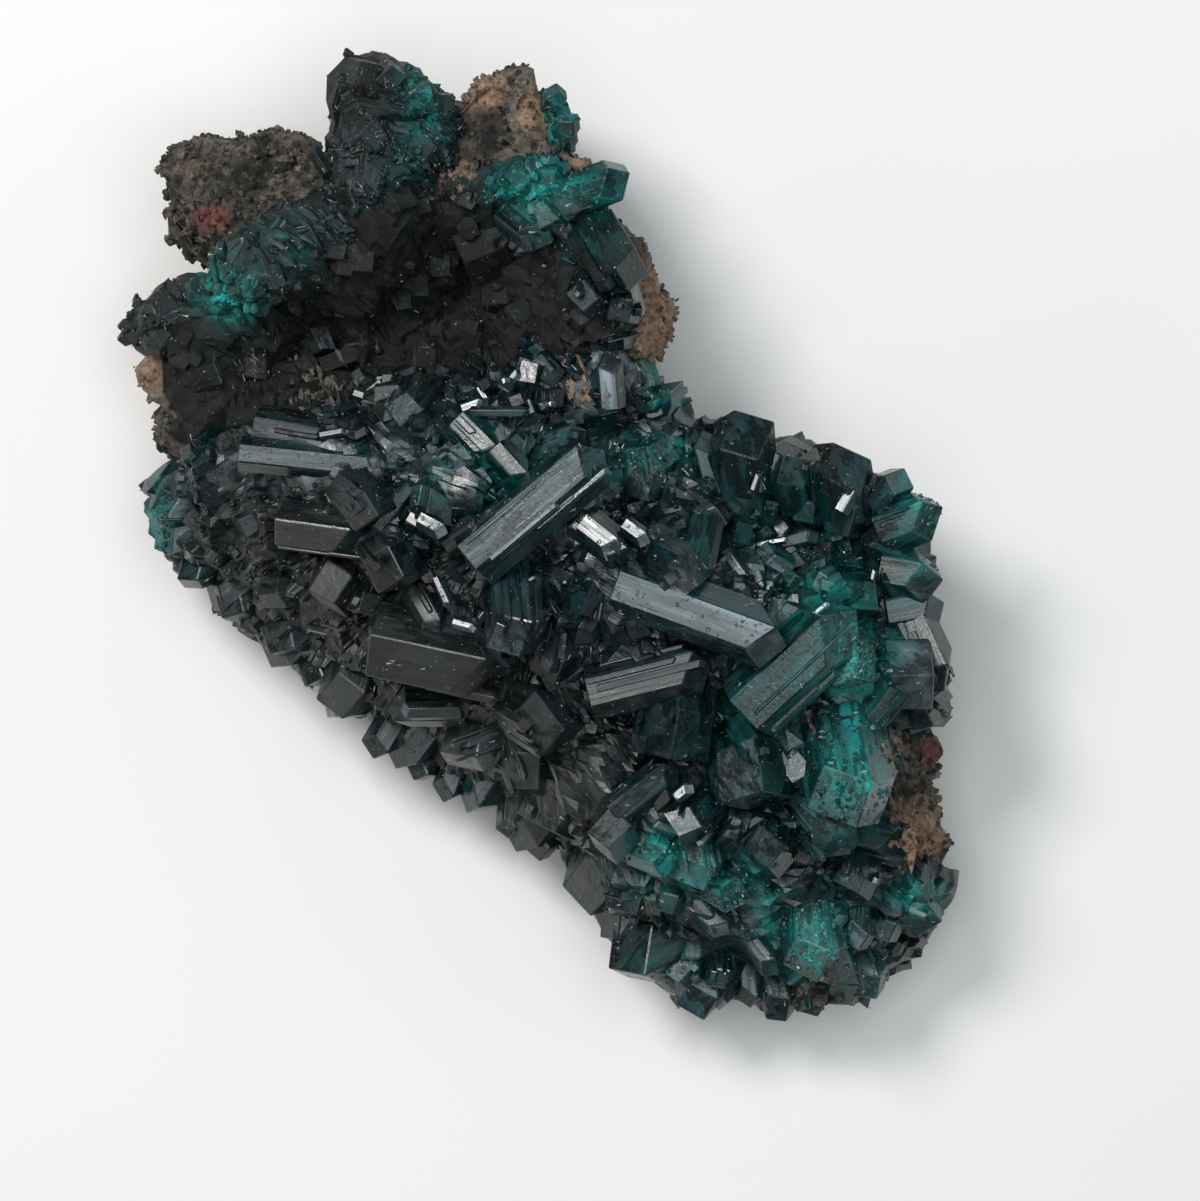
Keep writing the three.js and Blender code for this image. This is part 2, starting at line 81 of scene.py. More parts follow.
# Crystals, as in the part's source
GAP = 0.3
CRUST = 1.1
RHOMB_SLOPE = np.tan(np.radians(50.95))
SUNK_SHARE = 0.25
LYING_LIFT = 0.3
MOST_END = 0.8

LOWEST_CRUST = 2.4  # how near the floor a crust's roots reach
LOWEST_SMALL = 0.4  # how near the floor a small crystal's end reaches, past half its width

# Swellings and hollows of the crystal-bearing face: middle, half lengths, turn in degrees, rise
RELIEF = {
    "main_ridge": ((44, 43.5), (25, 7.5), -22, 6),
    "flank_shoulder": ((36, 53), (12, 6), -35, 1.5),
    "hollow": ((26, 27.5), (13, 5.6), 14, -13),
    "hollow_head": ((37.5, 21.5), (7.5, 6), 30, -8),
    "rim_band": ((18.5, 22.6), (9, 2.3), 25, 7),
    "horn_ridge": ((30.2, 12), (2.6, 9), -6, 7),
    "knob": ((19.5, 14.5), (6, 4.2), 0, 2.5),
    "crest": ((41.5, 10.8), (5, 4.5), 0, 5),
    "shoulder": ((48, 21.5), (3.6, 8), 25, 6),
    "saddle": ((50, 33.5), (7, 3.6), -20, -2),
    "right_basin": ((64, 43.5), (6.5, 4), -15, -5),
    "right_ridge": ((68.5, 55), (5, 9), 10, 3.5),
    "lower_basin": ((56, 57.5), (8.5, 4.5), 15, -3),
    "fore_ridge": ((58, 68), (12, 4), -25, 2),
}
LUMPS = (7.5, 0.45)

# Outlines on the sheet, clockwise
ROCK_OUTLINE = [
    [27.6, 4.8], [31.2, 5.4], [34.2, 7.8], [36.6, 7.8], [38.2, 5.6], [41.8, 5.2], [44.4, 7.0],
    [45.6, 11.0], [47.8, 13.2], [49.0, 16.8], [51.2, 19.2], [52.9, 22.1], [53.3, 25.6], [52.4, 29.4],
    [53.6, 32.6], [56.4, 35.2], [60.4, 36.2], [66.0, 37.4], [71.0, 39.4], [73.8, 43.4], [73.8, 48.0],
    [75.0, 53.0], [75.8, 58.6], [75.0, 63.4], [76.5, 67.6], [76.9, 70.8], [73.8, 75.0], [70.7, 78.9],
    [65.7, 80.3], [60.2, 80.5], [54.4, 79.0], [50.6, 75.4], [48.4, 71.0], [45.0, 67.4], [41.0, 64.2],
    [36.4, 61.2], [31.4, 57.8], [26.2, 54.4], [21.0, 50.2], [16.6, 46.0], [13.0, 41.6], [12.6, 37.6],
    [12.0, 33.4], [10.4, 29.6], [10.7, 24.8], [13.8, 23.3], [17.2, 22.6], [15.3, 18.8], [12.3, 16.2],
    [12.0, 12.4], [14.0, 10.4], [18.8, 10.6], [22.8, 10.5], [25.6, 12.0], [26.8, 13.6], [27.8, 9.4],
]
MAIN_DRUSE_OUTLINE = [
    [9, 38.4], [14, 36.8], [18.4, 34.4], [26.4, 32.2], [33.6, 30.8], [38.4, 29.8], [44, 27.6],
    [48, 27.4], [51.2, 29], [54.8, 33.4], [59, 31], [78, 33], [79, 57], [71.2, 58.8], [70.6, 65],
    [72.6, 68.6], [78, 70.2], [80, 78], [72, 84], [44, 84], [34, 68], [22, 58], [8, 45],
]
HOLLOW_OUTLINE = [
    [14.6, 27.0], [19.4, 25.2], [27.6, 21.8], [31.6, 16.2], [37.8, 15.6], [41.2, 19.6], [45.2, 21.6],
    [47.4, 26.6], [43.8, 27], [38, 29.2], [33.4, 30.2], [26.2, 31.6], [18, 33.8], [15.2, 34.2],
]
RIM_OUTLINE = [
    [9, 23.6], [12.6, 22], [16.6, 22.4], [18.2, 19.8], [23.4, 17], [26.6, 15], [26.4, 9], [25, 3],
    [34, 3], [36.6, 8], [36.4, 12.6], [31.8, 14.8], [27.2, 21], [19.2, 24.6], [12, 26.6], [9.6, 29],
]
SHOULDER_OUTLINE = [
    [38.6, 13.8], [42.4, 12.4], [45.8, 13.4], [50.6, 12], [50.8, 17.4], [51.4, 20.8], [50.8, 26.2],
    [48.2, 26.8], [46, 21.2], [41.8, 19], [38.4, 15.2],
]
CREST_OUTLINE = [[42.6, 5], [46.4, 6.6], [48, 11.6], [45.8, 12.6], [43.8, 11.6], [43.4, 8.4]]

# Crystals: x, y of the middle on the sheet, heading and rise in degrees, length, width, turn about the axis
MAIN_CRYSTALS = [
    # the tall ridge, from the left
    [25.6, 37.0, -6, 3, 12.4, 3.0, 0], [23.9, 34.8, -10, 10, 6.5, 4.2, 8],
    [26.6, 42.6, -8, 15, 8, 4.6, 20], [29.4, 40.4, -40, 55, 5.6, 4.6, 10],
    [31.4, 31.0, 28, 8, 6.4, 2.6, 0], [31.6, 45.0, -50, 62, 6.5, 5.0, 15],
    [38.6, 35.6, -45, 20, 5, 3.4, 0], [41.1, 37.5, -48, 10, 4, 2.6, 0],
    [43.2, 40.6, 40, 6, 13.6, 5.0, -12], [44.8, 35.4, 20, 20, 5, 3.2, 0],
    [48.6, 30.5, 95, 10, 4.6, 3.0, 0], [52.4, 36.6, 60, 40, 5, 4, 0], [51.4, 38.6, -80, 50, 5, 3.6, 0],
    [48.3, 43.4, -38, 12, 5.5, 3.6, 0], [41.4, 49.0, -85, 35, 8.5, 5.4, 0],
    [54.0, 45.8, -30, 45, 6, 4.8, 0], [56.0, 49.2, -20, 2, 14.4, 5.2, 0],
    # the left flank
    [27.2, 46.6, -100, 55, 6, 4.6, 0], [19.2, 48.0, -140, 20, 5, 3.4, 0],
    [23.4, 50.6, -140, 25, 6, 4.4, 0], [16.0, 43.6, 170, 25, 5, 3.6, 0],
    [13.8, 40.8, 180, 12, 4.5, 4.0, 0], [28.2, 54.0, -105, 20, 8, 5.4, 0],
    [30.8, 58.8, -120, 10, 5, 3.4, 0], [35.6, 52.2, -12, 8, 11, 7.2, 26],
    [34.4, 49.0, -60, 20, 4.5, 3.0, 0], [38.2, 59.0, 200, 18, 7, 5.6, 0],
    [43.6, 57.4, -30, 58, 7, 6.0, 0], [42.2, 60.8, -70, 30, 6, 4.6, 0],
    [44.6, 64.2, -95, 48, 7.5, 6.2, 0], [49.2, 66.2, -110, 60, 6.5, 4.4, 0],
    [48.2, 69.8, -105, 12, 8, 6.0, 0], [14.2, 43.0, 200, -5, 5, 4.2, 0],
    [18.5, 47.3, 220, -12, 5, 4.2, 10], [23.4, 51.4, 225, -8, 6, 4.6, 0],
    [27.8, 55.8, 222, -14, 5.5, 4.4, 20], [33.2, 59.4, 232, -8, 6, 4.6, 0],
    [38.6, 63.0, 238, -5, 5.5, 4.2, 10], [42.8, 66.4, 232, -12, 5.5, 4.6, 0],
    [15.7, 45.4, 205, 20, 4.5, 3.6, 0], [25.4, 53.0, 240, 25, 5, 3.8, 0],
    # the lower basin and the fore edge
    [50.2, 73.8, 215, -8, 5.5, 4.4, 0], [58.0, 79.0, 262, -12, 5, 4.2, 15],
    [67.6, 78.4, 290, -8, 5.5, 4.4, 0], [54.0, 58.0, -100, 45, 7.6, 7.2, 30],
    [52.0, 54.0, 14, 6, 10, 4.8, 0], [60.0, 61.6, -60, 62, 7.5, 7.0, 0],
    [51.8, 63.0, 38, 12, 6.5, 3.2, 0], [55.4, 65.4, -130, 48, 5.5, 4.2, 0],
    [55.8, 68.5, -80, 25, 6, 4.2, 0], [61.6, 68.0, -100, 60, 5, 4.6, 0],
    [58.2, 70.8, -30, 40, 5.5, 4.0, 0], [52.0, 76.2, -155, 22, 8, 6.8, 0],
    [56.9, 73.5, -40, 25, 4.6, 2.6, 0], [60.8, 76.2, -52, 15, 5.4, 2.4, 0],
    [55.0, 77.2, -110, 40, 5, 3.8, 0], [57.8, 77.6, -80, 35, 4.5, 3.0, 0],
    [56.4, 79.7, -90, 10, 5, 4.8, 0], [62.6, 80.4, -75, 15, 4, 3.4, 0], [65.5, 80.0, -85, 20, 4, 3.6, 0],
    [65.1, 75.2, -85, 28, 8, 5.4, 0], [69.0, 74.0, -95, 20, 5, 3.2, 0],
    [71.2, 74.0, -90, 45, 4.5, 3.0, 0], [69.6, 78.2, -70, 20, 5, 4, 0], [73.4, 73.2, -20, 15, 5, 4, 0],
    # the right ridge
    [64.0, 52.8, 43, 10, 12, 6.4, 0], [67.7, 53.0, -60, 62, 6, 5.0, 0],
    [67.6, 62.0, -80, 35, 10, 7.6, 0], [66.2, 66.2, -50, 35, 6.5, 5.0, 0],
    [70.8, 67.0, -15, 25, 6, 4.4, 0], [68.6, 69.8, -90, 50, 5, 4, 0], [72.2, 54.0, 0, 48, 7.2, 6.6, 30],
    [73.8, 51.6, -65, 12, 8.5, 4.6, 0], [73.4, 57.0, -40, 40, 4.5, 3.4, 0],
    [73.2, 48.6, 10, -5, 5, 4.2, 0], [74.0, 55.4, -10, -8, 5, 4.0, 10],
    # the ring round the right basin
    [56.8, 36.8, 105, 5, 5, 4.2, 0], [62.4, 37.4, 85, 0, 4.5, 3.6, 0], [59.0, 36.6, 95, 28, 8.5, 6.4, 0],
    [63.0, 38.3, 100, 40, 5, 4.4, 0], [64.8, 38.0, 60, 45, 4.6, 3.4, 0],
    [67.0, 38.2, 100, 30, 6.5, 5.6, 0], [67.6, 40.0, 75, 30, 5, 3.4, 0], [71.1, 38.9, 50, 20, 4, 3.4, 0],
    [72.9, 41.5, 20, 15, 5.5, 4.4, 0], [73.1, 46.0, -10, 15, 5, 4.4, 0],
    [68.0, 47.6, 30, 40, 5.5, 4.4, 0],
]
HOLLOW_CRYSTALS = [
    [28.6, 28.0, -70, 60, 5.5, 4.0, 0], [24.6, 27.0, -40, 60, 5, 3.6, 0],
    [20.0, 29.0, 20, 55, 4.5, 3.4, 0], [16.0, 30.0, 40, 50, 4.5, 3.2, 0],
    [32.4, 25.6, -120, 55, 5, 4.2, 0], [38.6, 19.4, -130, 50, 7, 6.4, 0],
    [35.0, 21.4, -60, 60, 5, 4.0, 0], [40.0, 23.4, -150, 45, 5, 3.8, 0],
    [36.6, 26.8, 110, 50, 4.6, 3.2, 0], [42.0, 25.4, 150, 45, 5, 3.6, 0],
    [22.6, 31.2, 90, 50, 4.4, 3.0, 0],
]
RIM_CRYSTALS = [
    [29.2, 6.8, 100, 55, 5.2, 3.8, 0], [31.0, 6.8, 70, 60, 5, 3.2, 0], [33.4, 8.6, 40, 50, 5, 3.6, 0],
    [30.2, 11.6, 150, 60, 4.4, 3.2, 0], [33.6, 11.6, -20, 50, 4.6, 3.2, 0],
    [28.8, 16.0, 140, 60, 4.4, 3.2, 0], [25.0, 20.0, -60, 60, 4.0, 3.0, 0],
    [19.4, 21.8, 120, 65, 4.2, 3.2, 0], [15.6, 23.8, 110, 50, 4.2, 3.2, 0],
    [13.3, 24.9, 150, 45, 4.4, 3.4, 0], [13.0, 27.2, 190, 35, 4.0, 3.0, 0],
]
SHOULDER_CRYSTALS = [
    [48.2, 15.0, 20, 30, 5.4, 4.2, 0], [48.8, 21.2, -60, 35, 7.2, 5.6, 30],
    [42.6, 18.2, -40, 35, 5.5, 4.6, 0], [41.4, 14.8, 160, 60, 4, 3.0, 0],
    [45.4, 16.4, -30, 50, 4.6, 3.4, 0], [49.8, 24.6, -75, 45, 4.6, 3.6, 0],
    [47.2, 23.8, -110, 50, 5, 4.0, 0],
]
CREST_CRYSTALS = [[44.4, 8.2, 60, 72, 3.6, 2.6, 0], [45.2, 10.4, 20, 66, 3.6, 2.8, 0]]

# Small crystals that the solids leave out, in the same form
SMALL_CRYSTALS = [
    [32.0, 40.4, 52, 10, 5, 1.8, 0], [34.7, 42.4, -30, 15, 4.0, 2.0, 0],
    [40.6, 34.3, -100, 45, 4.5, 2.4, 0], [40.2, 31.8, 80, 20, 3.8, 2.2, 0],
    [51.0, 43.0, 142, -20, 3.4, 2.0, 0], [33.9, 61.4, -130, 20, 3.5, 2.6, 0],
    [36.0, 62.4, -110, 5, 4.5, 2.8, 0], [40.8, 65.0, -95, 5, 5, 2.4, 0],
    [43.4, 67.4, -100, 20, 4, 3.0, 0], [52.1, 71.8, -65, 25, 4, 2.2, 0],
    [53.7, 71.8, -85, 45, 4, 2.8, 0], [60.1, 79.2, -88, 10, 4, 2.6, 0],
    [69.8, 39.8, 88, 25, 4.4, 2.2, 0], [60.4, 38.6, -60, 60, 4, 2.8, 0], [63.7, 43.1, 14, 8, 4, 1.8, 0],
    [58.8, 45.4, -55, 12, 3.2, 1.6, 0], [33.0, 32.8, -120, 50, 5.5, 4.0, 0],
    [38.6, 32.8, 30, 15, 4, 2.4, 10], [52.6, 68.2, -20, 30, 4.5, 3.4, 0],
    [65.1, 49.0, 40, 8, 2.6, 0.7, 0], [29.2, 30.6, 150, 20, 3.2, 1.8, 0],
    [31.0, 30.2, 120, 30, 2.6, 1.8, 0], [37.6, 31.4, 140, 25, 3.0, 2.0, 0],
    [36.2, 33.4, 150, 15, 3.2, 2.2, 0], [58.2, 34.9, 40, 20, 3.4, 2.6, 0],
    [54.6, 63.4, 70, 35, 2.6, 2.0, 0], [53.0, 66.0, 160, 10, 2.4, 1.4, 0],
    [46.2, 41.0, 30, 8, 5, 1.6, 0], [37.6, 42.6, 35, 25, 4.2, 2.4, 0], [38.8, 45.0, -60, 30, 4, 2.6, 0],
    [56.6, 41.0, -35, 30, 4.2, 3.0, 0], [58.8, 42.6, 20, 35, 3.6, 2.6, 0],
    [61.6, 44.8, 150, 25, 3.4, 2.4, 0], [64.4, 40.6, -70, 40, 3.8, 2.8, 0],
    [70.2, 43.4, 160, 30, 3.6, 2.6, 0], [71.2, 46.6, 120, 35, 3.6, 2.4, 0],
]

# Places whose colour differs, by their own tone and by painted light as said at each table: middle and
# half lengths on the sheet, strength
BRIGHT_SPOTS = [
    [18.6, 23.4, 2.6, 3.2, 1.0], [43.4, 15.4, 5.0, 2.2, 1.0], [11.9, 41.4, 1.5, 3.2, 1.0],
    [51.6, 36.8, 3.2, 1.8, 0.7], [68.2, 52.8, 2.6, 3.2, 1.0], [68.0, 61.9, 3.2, 4.0, 0.9],
    [52.6, 68.1, 2.0, 1.5, 0.9], [58.2, 70.8, 2.6, 1.6, 0.9], [65.1, 75.1, 2.6, 3.4, 1.0],
    [73.2, 71.8, 3.0, 1.2, 0.8], [69.8, 78.4, 1.3, 2.0, 0.7], [44.6, 9.1, 1.6, 3.2, 0.7],
    [34.0, 8.6, 1.5, 4.0, 0.55], [22.0, 20.6, 3.0, 2.4, 0.4], [40.0, 37.6, 6.0, 3.2, 0.2],
    [61.0, 42.0, 7.0, 5.0, 0.1], [53.4, 31.0, 1.6, 2.0, 0.8], [66.0, 47.6, 4.0, 2.6, 0.4],
    [55.0, 70.0, 5.0, 2.0, 0.45], [73.8, 42.0, 1.6, 4.6, 0.6], [61.6, 73.4, 2.4, 2.2, 0.7],
    [62.0, 58.0, 6.0, 6.0, 0.18], [33.0, 14.0, 2.0, 3.0, 0.25], [53.4, 77.6, 2.4, 1.2, 0.5],
]
# Brown spots: painted brownish shade and reflection, mostly in the hollow and on the left flank
BROWN_SPOTS = [
    [25.0, 27.0, 14.0, 6.5, 1.0], [37.0, 22.0, 8.0, 6.0, 0.9], [22.0, 43.0, 10.0, 5.0, 0.7],
    [26.0, 49.0, 10.0, 6.0, 0.8], [36.0, 56.0, 9.0, 7.0, 0.75], [45.0, 63.0, 7.0, 6.0, 0.6],
    [66.5, 79.0, 4.5, 2.4, 0.9], [55.0, 55.0, 5.0, 3.0, 0.35], [29.0, 6.8, 1.9, 2.6, 0.9],
    [20.2, 13.0, 6.0, 4.0, 0.8],
]
# Pale spots: frosting on the tops of some crystals, partly a painted highlight where those tops would mirror
# the overhead light
PALE_SPOTS = [
    [51.2, 47.3, 2.4, 1.3, 1.0], [54.2, 48.5, 2.4, 1.3, 1.0], [57.4, 49.7, 2.4, 1.3, 1.0],
    [60.6, 50.9, 2.4, 1.4, 1.0], [25.6, 37.0, 6.4, 1.4, 0.8], [48.6, 30.5, 2.4, 2.6, 0.9],
    [40.6, 42.8, 1.8, 1.4, 0.35], [43.2, 40.6, 1.8, 1.4, 0.3], [45.8, 38.4, 1.8, 1.4, 0.35],
    [35.4, 50.0, 2.6, 1.4, 0.4], [56.0, 62.6, 1.4, 1.4, 0.4],
]
# Dark spots: the crystals' deep green, partly painted shade where faces catch no light
DARK_SPOTS = [
    [55.6, 39.6, 5.4, 4.0, 0.9], [53.0, 55.4, 7.0, 3.0, 0.85], [24.6, 40.4, 3.6, 1.8, 0.9],
    [53.0, 76.8, 4.6, 2.0, 0.6], [72.6, 54.6, 2.6, 3.0, 0.85], [58.6, 64.8, 3.4, 3.4, 0.8],
    [39.4, 36.0, 3.4, 1.8, 0.6], [33.2, 45.4, 3.4, 3.4, 0.6], [58.6, 34.8, 3.4, 2.4, 0.9],
    [46.6, 43.6, 3.2, 2.0, 0.8], [46.0, 59.6, 6.0, 4.0, 0.5], [49.6, 71.4, 2.6, 2.4, 0.8],
    [70.0, 71.0, 2.2, 2.4, 0.5], [30.4, 9.0, 3.4, 4.4, 0.9], [49.0, 25.0, 3.0, 3.0, 0.8],
    [49.6, 20.4, 3.4, 4.6, 0.95], [56.0, 49.4, 8.5, 3.4, 0.85], [61.5, 40.0, 6.0, 4.0, 0.6],
    [63.2, 53.4, 4.8, 4.2, 0.8], [48.6, 16.0, 2.6, 2.4, 0.8], [13.6, 25.6, 3.4, 2.6, 0.6],
    [27.0, 44.4, 4.4, 2.4, 0.7], [42.0, 48.6, 4.0, 4.0, 0.6],
]
# Small crystals with one face turned to mirror the key light, and with a painted highlight: their upper
# faces are painted pale grey. Columns: x, y, heading, length, width, height above the smooth face
GLINTS = [
    [29.2, 31.8, -20, 1.8, 1.0, 2.4], [30.2, 31.0, 40, 1.8, 1.2, 2.8], [31.2, 30.4, 5, 2.0, 1.1, 2.8],
    [32.4, 30.0, 60, 1.5, 0.9, 2.6], [31.2, 31.6, -70, 1.0, 0.8, 2.2], [33.4, 29.6, -15, 1.0, 0.6, 2.4],
    [38.0, 32.6, 20, 1.9, 1.2, 2.6], [38.8, 31.8, -60, 1.5, 0.9, 2.8], [40.0, 31.0, 35, 2.2, 0.8, 2.6],
    [41.2, 30.2, 50, 1.4, 0.8, 2.6], [39.4, 33.0, -10, 1.1, 0.9, 2.4], [48.3, 43.2, -38, 4.0, 2.8, 3.9],
    [51.0, 42.8, -36, 2.6, 1.7, 3.4], [35.0, 42.2, -28, 2.6, 1.7, 3.4], [60.4, 38.6, 70, 1.6, 0.7, 3.4],
    [67.8, 39.8, 60, 2.8, 1.5, 3.6], [54.7, 63.2, 40, 1.8, 1.3, 4.2], [61.8, 43.4, 10, 2.6, 0.7, 2.0],
    [26.9, 34.8, 10, 2.2, 0.8, 3.0], [65.1, 49.0, 38, 2.6, 0.6, 4.4], [44.0, 32.6, 30, 1.2, 0.8, 2.6],
    [35.6, 47.4, -65, 2.6, 0.9, 3.4], [37.4, 50.0, -15, 2.0, 0.9, 5.6], [69.8, 46.0, 75, 1.2, 0.6, 2.6],
    [54.4, 60.6, 20, 1.0, 0.5, 2.6], [42.6, 46.4, 30, 1.0, 0.5, 2.6], [57.2, 41.8, -40, 0.9, 0.4, 2.0],
]
TAN_SPOTS = [
    [38.4, 7.4, 2.2, 1.8, 1.0], [42.6, 9.2, 1.6, 2.2, 0.9], [46.6, 12.6, 1.8, 1.4, 0.9],
    [52.2, 25.4, 2.0, 6.8, 1.0], [46.0, 31.4, 1.8, 2.6, 1.0], [11.4, 28.4, 1.6, 3.6, 0.9],
    [27.4, 14.6, 0.8, 1.2, 0.9], [73.6, 67.6, 2.6, 3.8, 1.0], [55.0, 34.2, 1.6, 1.6, 0.8],
    [15.4, 14.0, 3.0, 2.6, 0.35],
]
RUST_SPOTS = [
    [16.9, 17.4, 1.8, 1.3, 1.0], [74.8, 60.4, 1.4, 1.6, 0.8], [37.6, 6.8, 1.4, 1.2, 0.5],
]

# Each crust, over what is usual: its "outline" and "crystals" on the sheet, and its "depth" below the
# rock's edge. Its roots reach "reach" past the outline and out to the share "widest" of the rock. They have
# facets of the size "facet" and the height "relief", and broad "lumps", and are "thicker" than the solid's.
# Its crystals are "slimmer" and "deeper" than the solid's, with "steps" of parallel growth for each mm of
# width. A filler is (members of a group, or 0 for single crystals, how many, least and greatest width, how
# far axes stray, share sunk, share kept away from the brown spots), and none of them passes the share
# "spill" of the rock. "sugar" and "dust" are how many, with least and greatest width. "rough", "clear" and
# "gloss" are the finish, "teal" the whole crust's own tone, and "brown" its painted brownish shade.
USUAL = {
    "teal": 0.0, "brown": 0.0, "clear": 0.0, "small_rows": [], "glints": [], "widest": 1.2, "spill": 1.01,
    "thicker": 0.4,
}
CRUSTS = {
    "main_druse": {
        **USUAL, "outline": MAIN_DRUSE_OUTLINE, "depth": 3, "crystals": MAIN_CRYSTALS, "slot": "dioptase",
        "rough": 0.1, "gloss": 0.46, "small_rows": SMALL_CRYSTALS, "glints": GLINTS, "reach": 0.3,
        "thicker": 0.6, "facet": 3.0, "lumps": 0.5, "relief": 1.1, "slimmer": 1.0, "deeper": 0.0,
        "steps": 0.6,
        "fillers": [
            (4, 330, (1.8, 4.4), 0.8, 0.70, 0.8), (3, 240, (0.6, 1.7), 0.9, 0.5, 0),
            (0, 300, (0.3, 0.9), 1.0, 0.4, 0),
        ],
        "sugar": (1900, (0.12, 0.45)), "dust": (12000, (0.04, 0.24)),
    },
    "hollow_crust": {
        **USUAL, "outline": HOLLOW_OUTLINE, "depth": 12, "crystals": HOLLOW_CRYSTALS,
        # the whole hollow takes the painted brownish shade
        "slot": "dark_dioptase", "rough": 0.42, "gloss": 0.25, "brown": 1.0, "reach": 2.6, "widest": 0.95,
        "facet": 4.0, "lumps": 0.9, "relief": 0.8, "slimmer": 1.0, "deeper": 1.2, "steps": 0.2,
        "fillers": [(3, 50, (2.4, 4.4), 0.6, 0.74, 0), (0, 70, (0.5, 1.4), 0.9, 0.5, 0)],
        "sugar": (40, (0.15, 0.4)), "dust": (900, (0.04, 0.2)),
    },
    "rim_druse": {
        **USUAL, "outline": RIM_OUTLINE, "depth": 5, "crystals": RIM_CRYSTALS, "slot": "bright_dioptase",
        "rough": 0.34, "gloss": 0.34, "clear": 0.1, "reach": 0.6, "spill": 1.08,
        "facet": 1.7, "lumps": 1.4, "relief": 0.62, "slimmer": 0.95, "deeper": 2.1, "steps": 0.3,
        "fillers": [(4, 60, (0.8, 2.2), 0.8, 0.74, 0), (3, 520, (0.3, 1.0), 1.2, 0.6, 0)],
        "sugar": (900, (0.12, 0.4)), "dust": (4000, (0.04, 0.24)),
    },
    "crest_druse": {
        **USUAL, "outline": CREST_OUTLINE, "depth": 5, "crystals": CREST_CRYSTALS, "slot": "bright_dioptase",
        "rough": 0.34, "gloss": 0.34, "clear": 0.1, "teal": 0.25, "reach": 0.0, "thicker": 0.2,
        "facet": 2.0, "lumps": 0.8, "relief": 0.9, "slimmer": 0.8, "deeper": 1.4, "steps": 0.3,
        "fillers": [(4, 16, (0.8, 2.0), 0.7, 0.6, 0), (3, 26, (0.3, 0.8), 0.9, 0.5, 0)],
        "sugar": (60, (0.1, 0.35)), "dust": (300, (0.04, 0.24)),
    },
    "shoulder_druse": {
        **USUAL, "outline": SHOULDER_OUTLINE, "depth": 4, "crystals": SHOULDER_CRYSTALS, "slot": "dioptase",
        "rough": 0.1, "gloss": 0.46, "reach": 0.2, "widest": 0.93,
        "facet": 2.8, "lumps": 0.6, "relief": 1.1, "slimmer": 0.9, "deeper": 0.3, "steps": 0.4,
        "fillers": [(4, 40, (1.4, 3.4), 0.7, 0.66, 0), (3, 50, (0.5, 1.3), 0.9, 0.5, 0)],
        "sugar": (200, (0.12, 0.4)), "dust": (1100, (0.04, 0.24)),
    },
}

# Bits of rock between the crystals: x, y on the sheet, reach, number, sizes, tan, rust, how fibrous
OUTCROPS = {
    "outcrop_1": [20.2, 29.0, 1.6, 90, (0.08, 0.26), 0.7, 0.0, 1.6],
    "outcrop_2": [25.4, 31.2, 2.0, 260, (0.15, 0.7), 0.2, 0.2, 0.8],
    "outcrop_3": [46.1, 31.2, 0.95, 420, (0.15, 0.6), 0.45, 0.0, 1.2],
    "outcrop_4": [36.6, 12.6, 1.1, 120, (0.2, 0.9), 0.35, 0.3, 0.2],
    "outcrop_5": [65.8, 80.0, 1.6, 120, (0.4, 1.6), 0.0, 0.1, 0.0],
    "outcrop_7": [74.0, 65.4, 1.6, 220, (0.2, 1.0), 0.25, 0.4, 0.8],
    "outcrop_8": [72.4, 59.8, 1.0, 90, (0.2, 0.8), 0.3, 0.3, 0.8],
    "outcrop_9": [36.0, 15.4, 1.3, 120, (0.15, 0.7), 0.3, 0.4, 0.2],
    "outcrop_10": [30.2, 18.0, 0.7, 60, (0.15, 0.6), 0.5, 0.1, 0.0],
    "outcrop_11": [65.6, 57.7, 0.5, 60, (0.08, 0.3), 0.5, 0.0, 3.0],
}

# Where the camera stands and the lights: name, place, side of the square in metres, power in watts, colour
CAMERA_PLACE = (0.0045, -0.00564, 0.618)
LIGHTS = [
    ("key", (-0.187, 0.187, 0.424), 0.14, 1.45, (1.0, 0.99, 0.97)),
    ("overhead", (0.03, 0.01, 0.50), 0.34, 1.10, (0.90, 0.97, 1.0)),
    ("left_fill", (-0.40, -0.36, 0.30), 0.30, 0.45, (1.0, 0.90, 0.82)),
    ("right_fill", (0.50, 0.05, 0.30), 0.30, 0.35, (0.85, 0.97, 1.0)),
]

AIM_HEIGHT = 0.018
SENSOR_WIDTH = 36
FLOOR_HALF = 1.5
ROOM_LIGHT = (0.105, 0.112, 0.115, 1)

RNG = np.random.default_rng(RNG_SEED)


def from_sheet(points):
    """Sheet coordinates in the plan that the pieces are shaped in: x from its origin, y turned upwards."""
    points = np.asarray(points, float)
    return np.stack([points[..., 0] - SHEET_ORIGIN[0], SHEET_ORIGIN[1] - points[..., 1]], -1)


HUB_PLAN = from_sheet(HUB)
SPOKES = from_sheet(ROCK_OUTLINE) - HUB_PLAN
SPOKES = SPOKES * (1 - OUTLINE_INSET / np.linalg.norm(SPOKES, axis=1, keepdims=True))
SPOKES = SPOKES[np.argsort(np.arctan2(SPOKES[:, 1], SPOKES[:, 0]))]
SPOKE_ANGLES = np.arctan2(SPOKES[:, 1], SPOKES[:, 0])


def outward_share(x, y):
    """Distance from the hub over the outline's distance on the same ray, by the side that the ray meets."""
    dx, dy = x - HUB_PLAN[0], y - HUB_PLAN[1]
    after = np.searchsorted(SPOKE_ANGLES, np.arctan2(dy, dx)) % len(SPOKES)
    a, b = SPOKES[after - 1], SPOKES[after]
    whole = a[..., 0] * b[..., 1] - a[..., 1] * b[..., 0]
    return ((dx * b[..., 1] - dy * b[..., 0]) + (a[..., 0] * dy - a[..., 1] * dx)) / whole


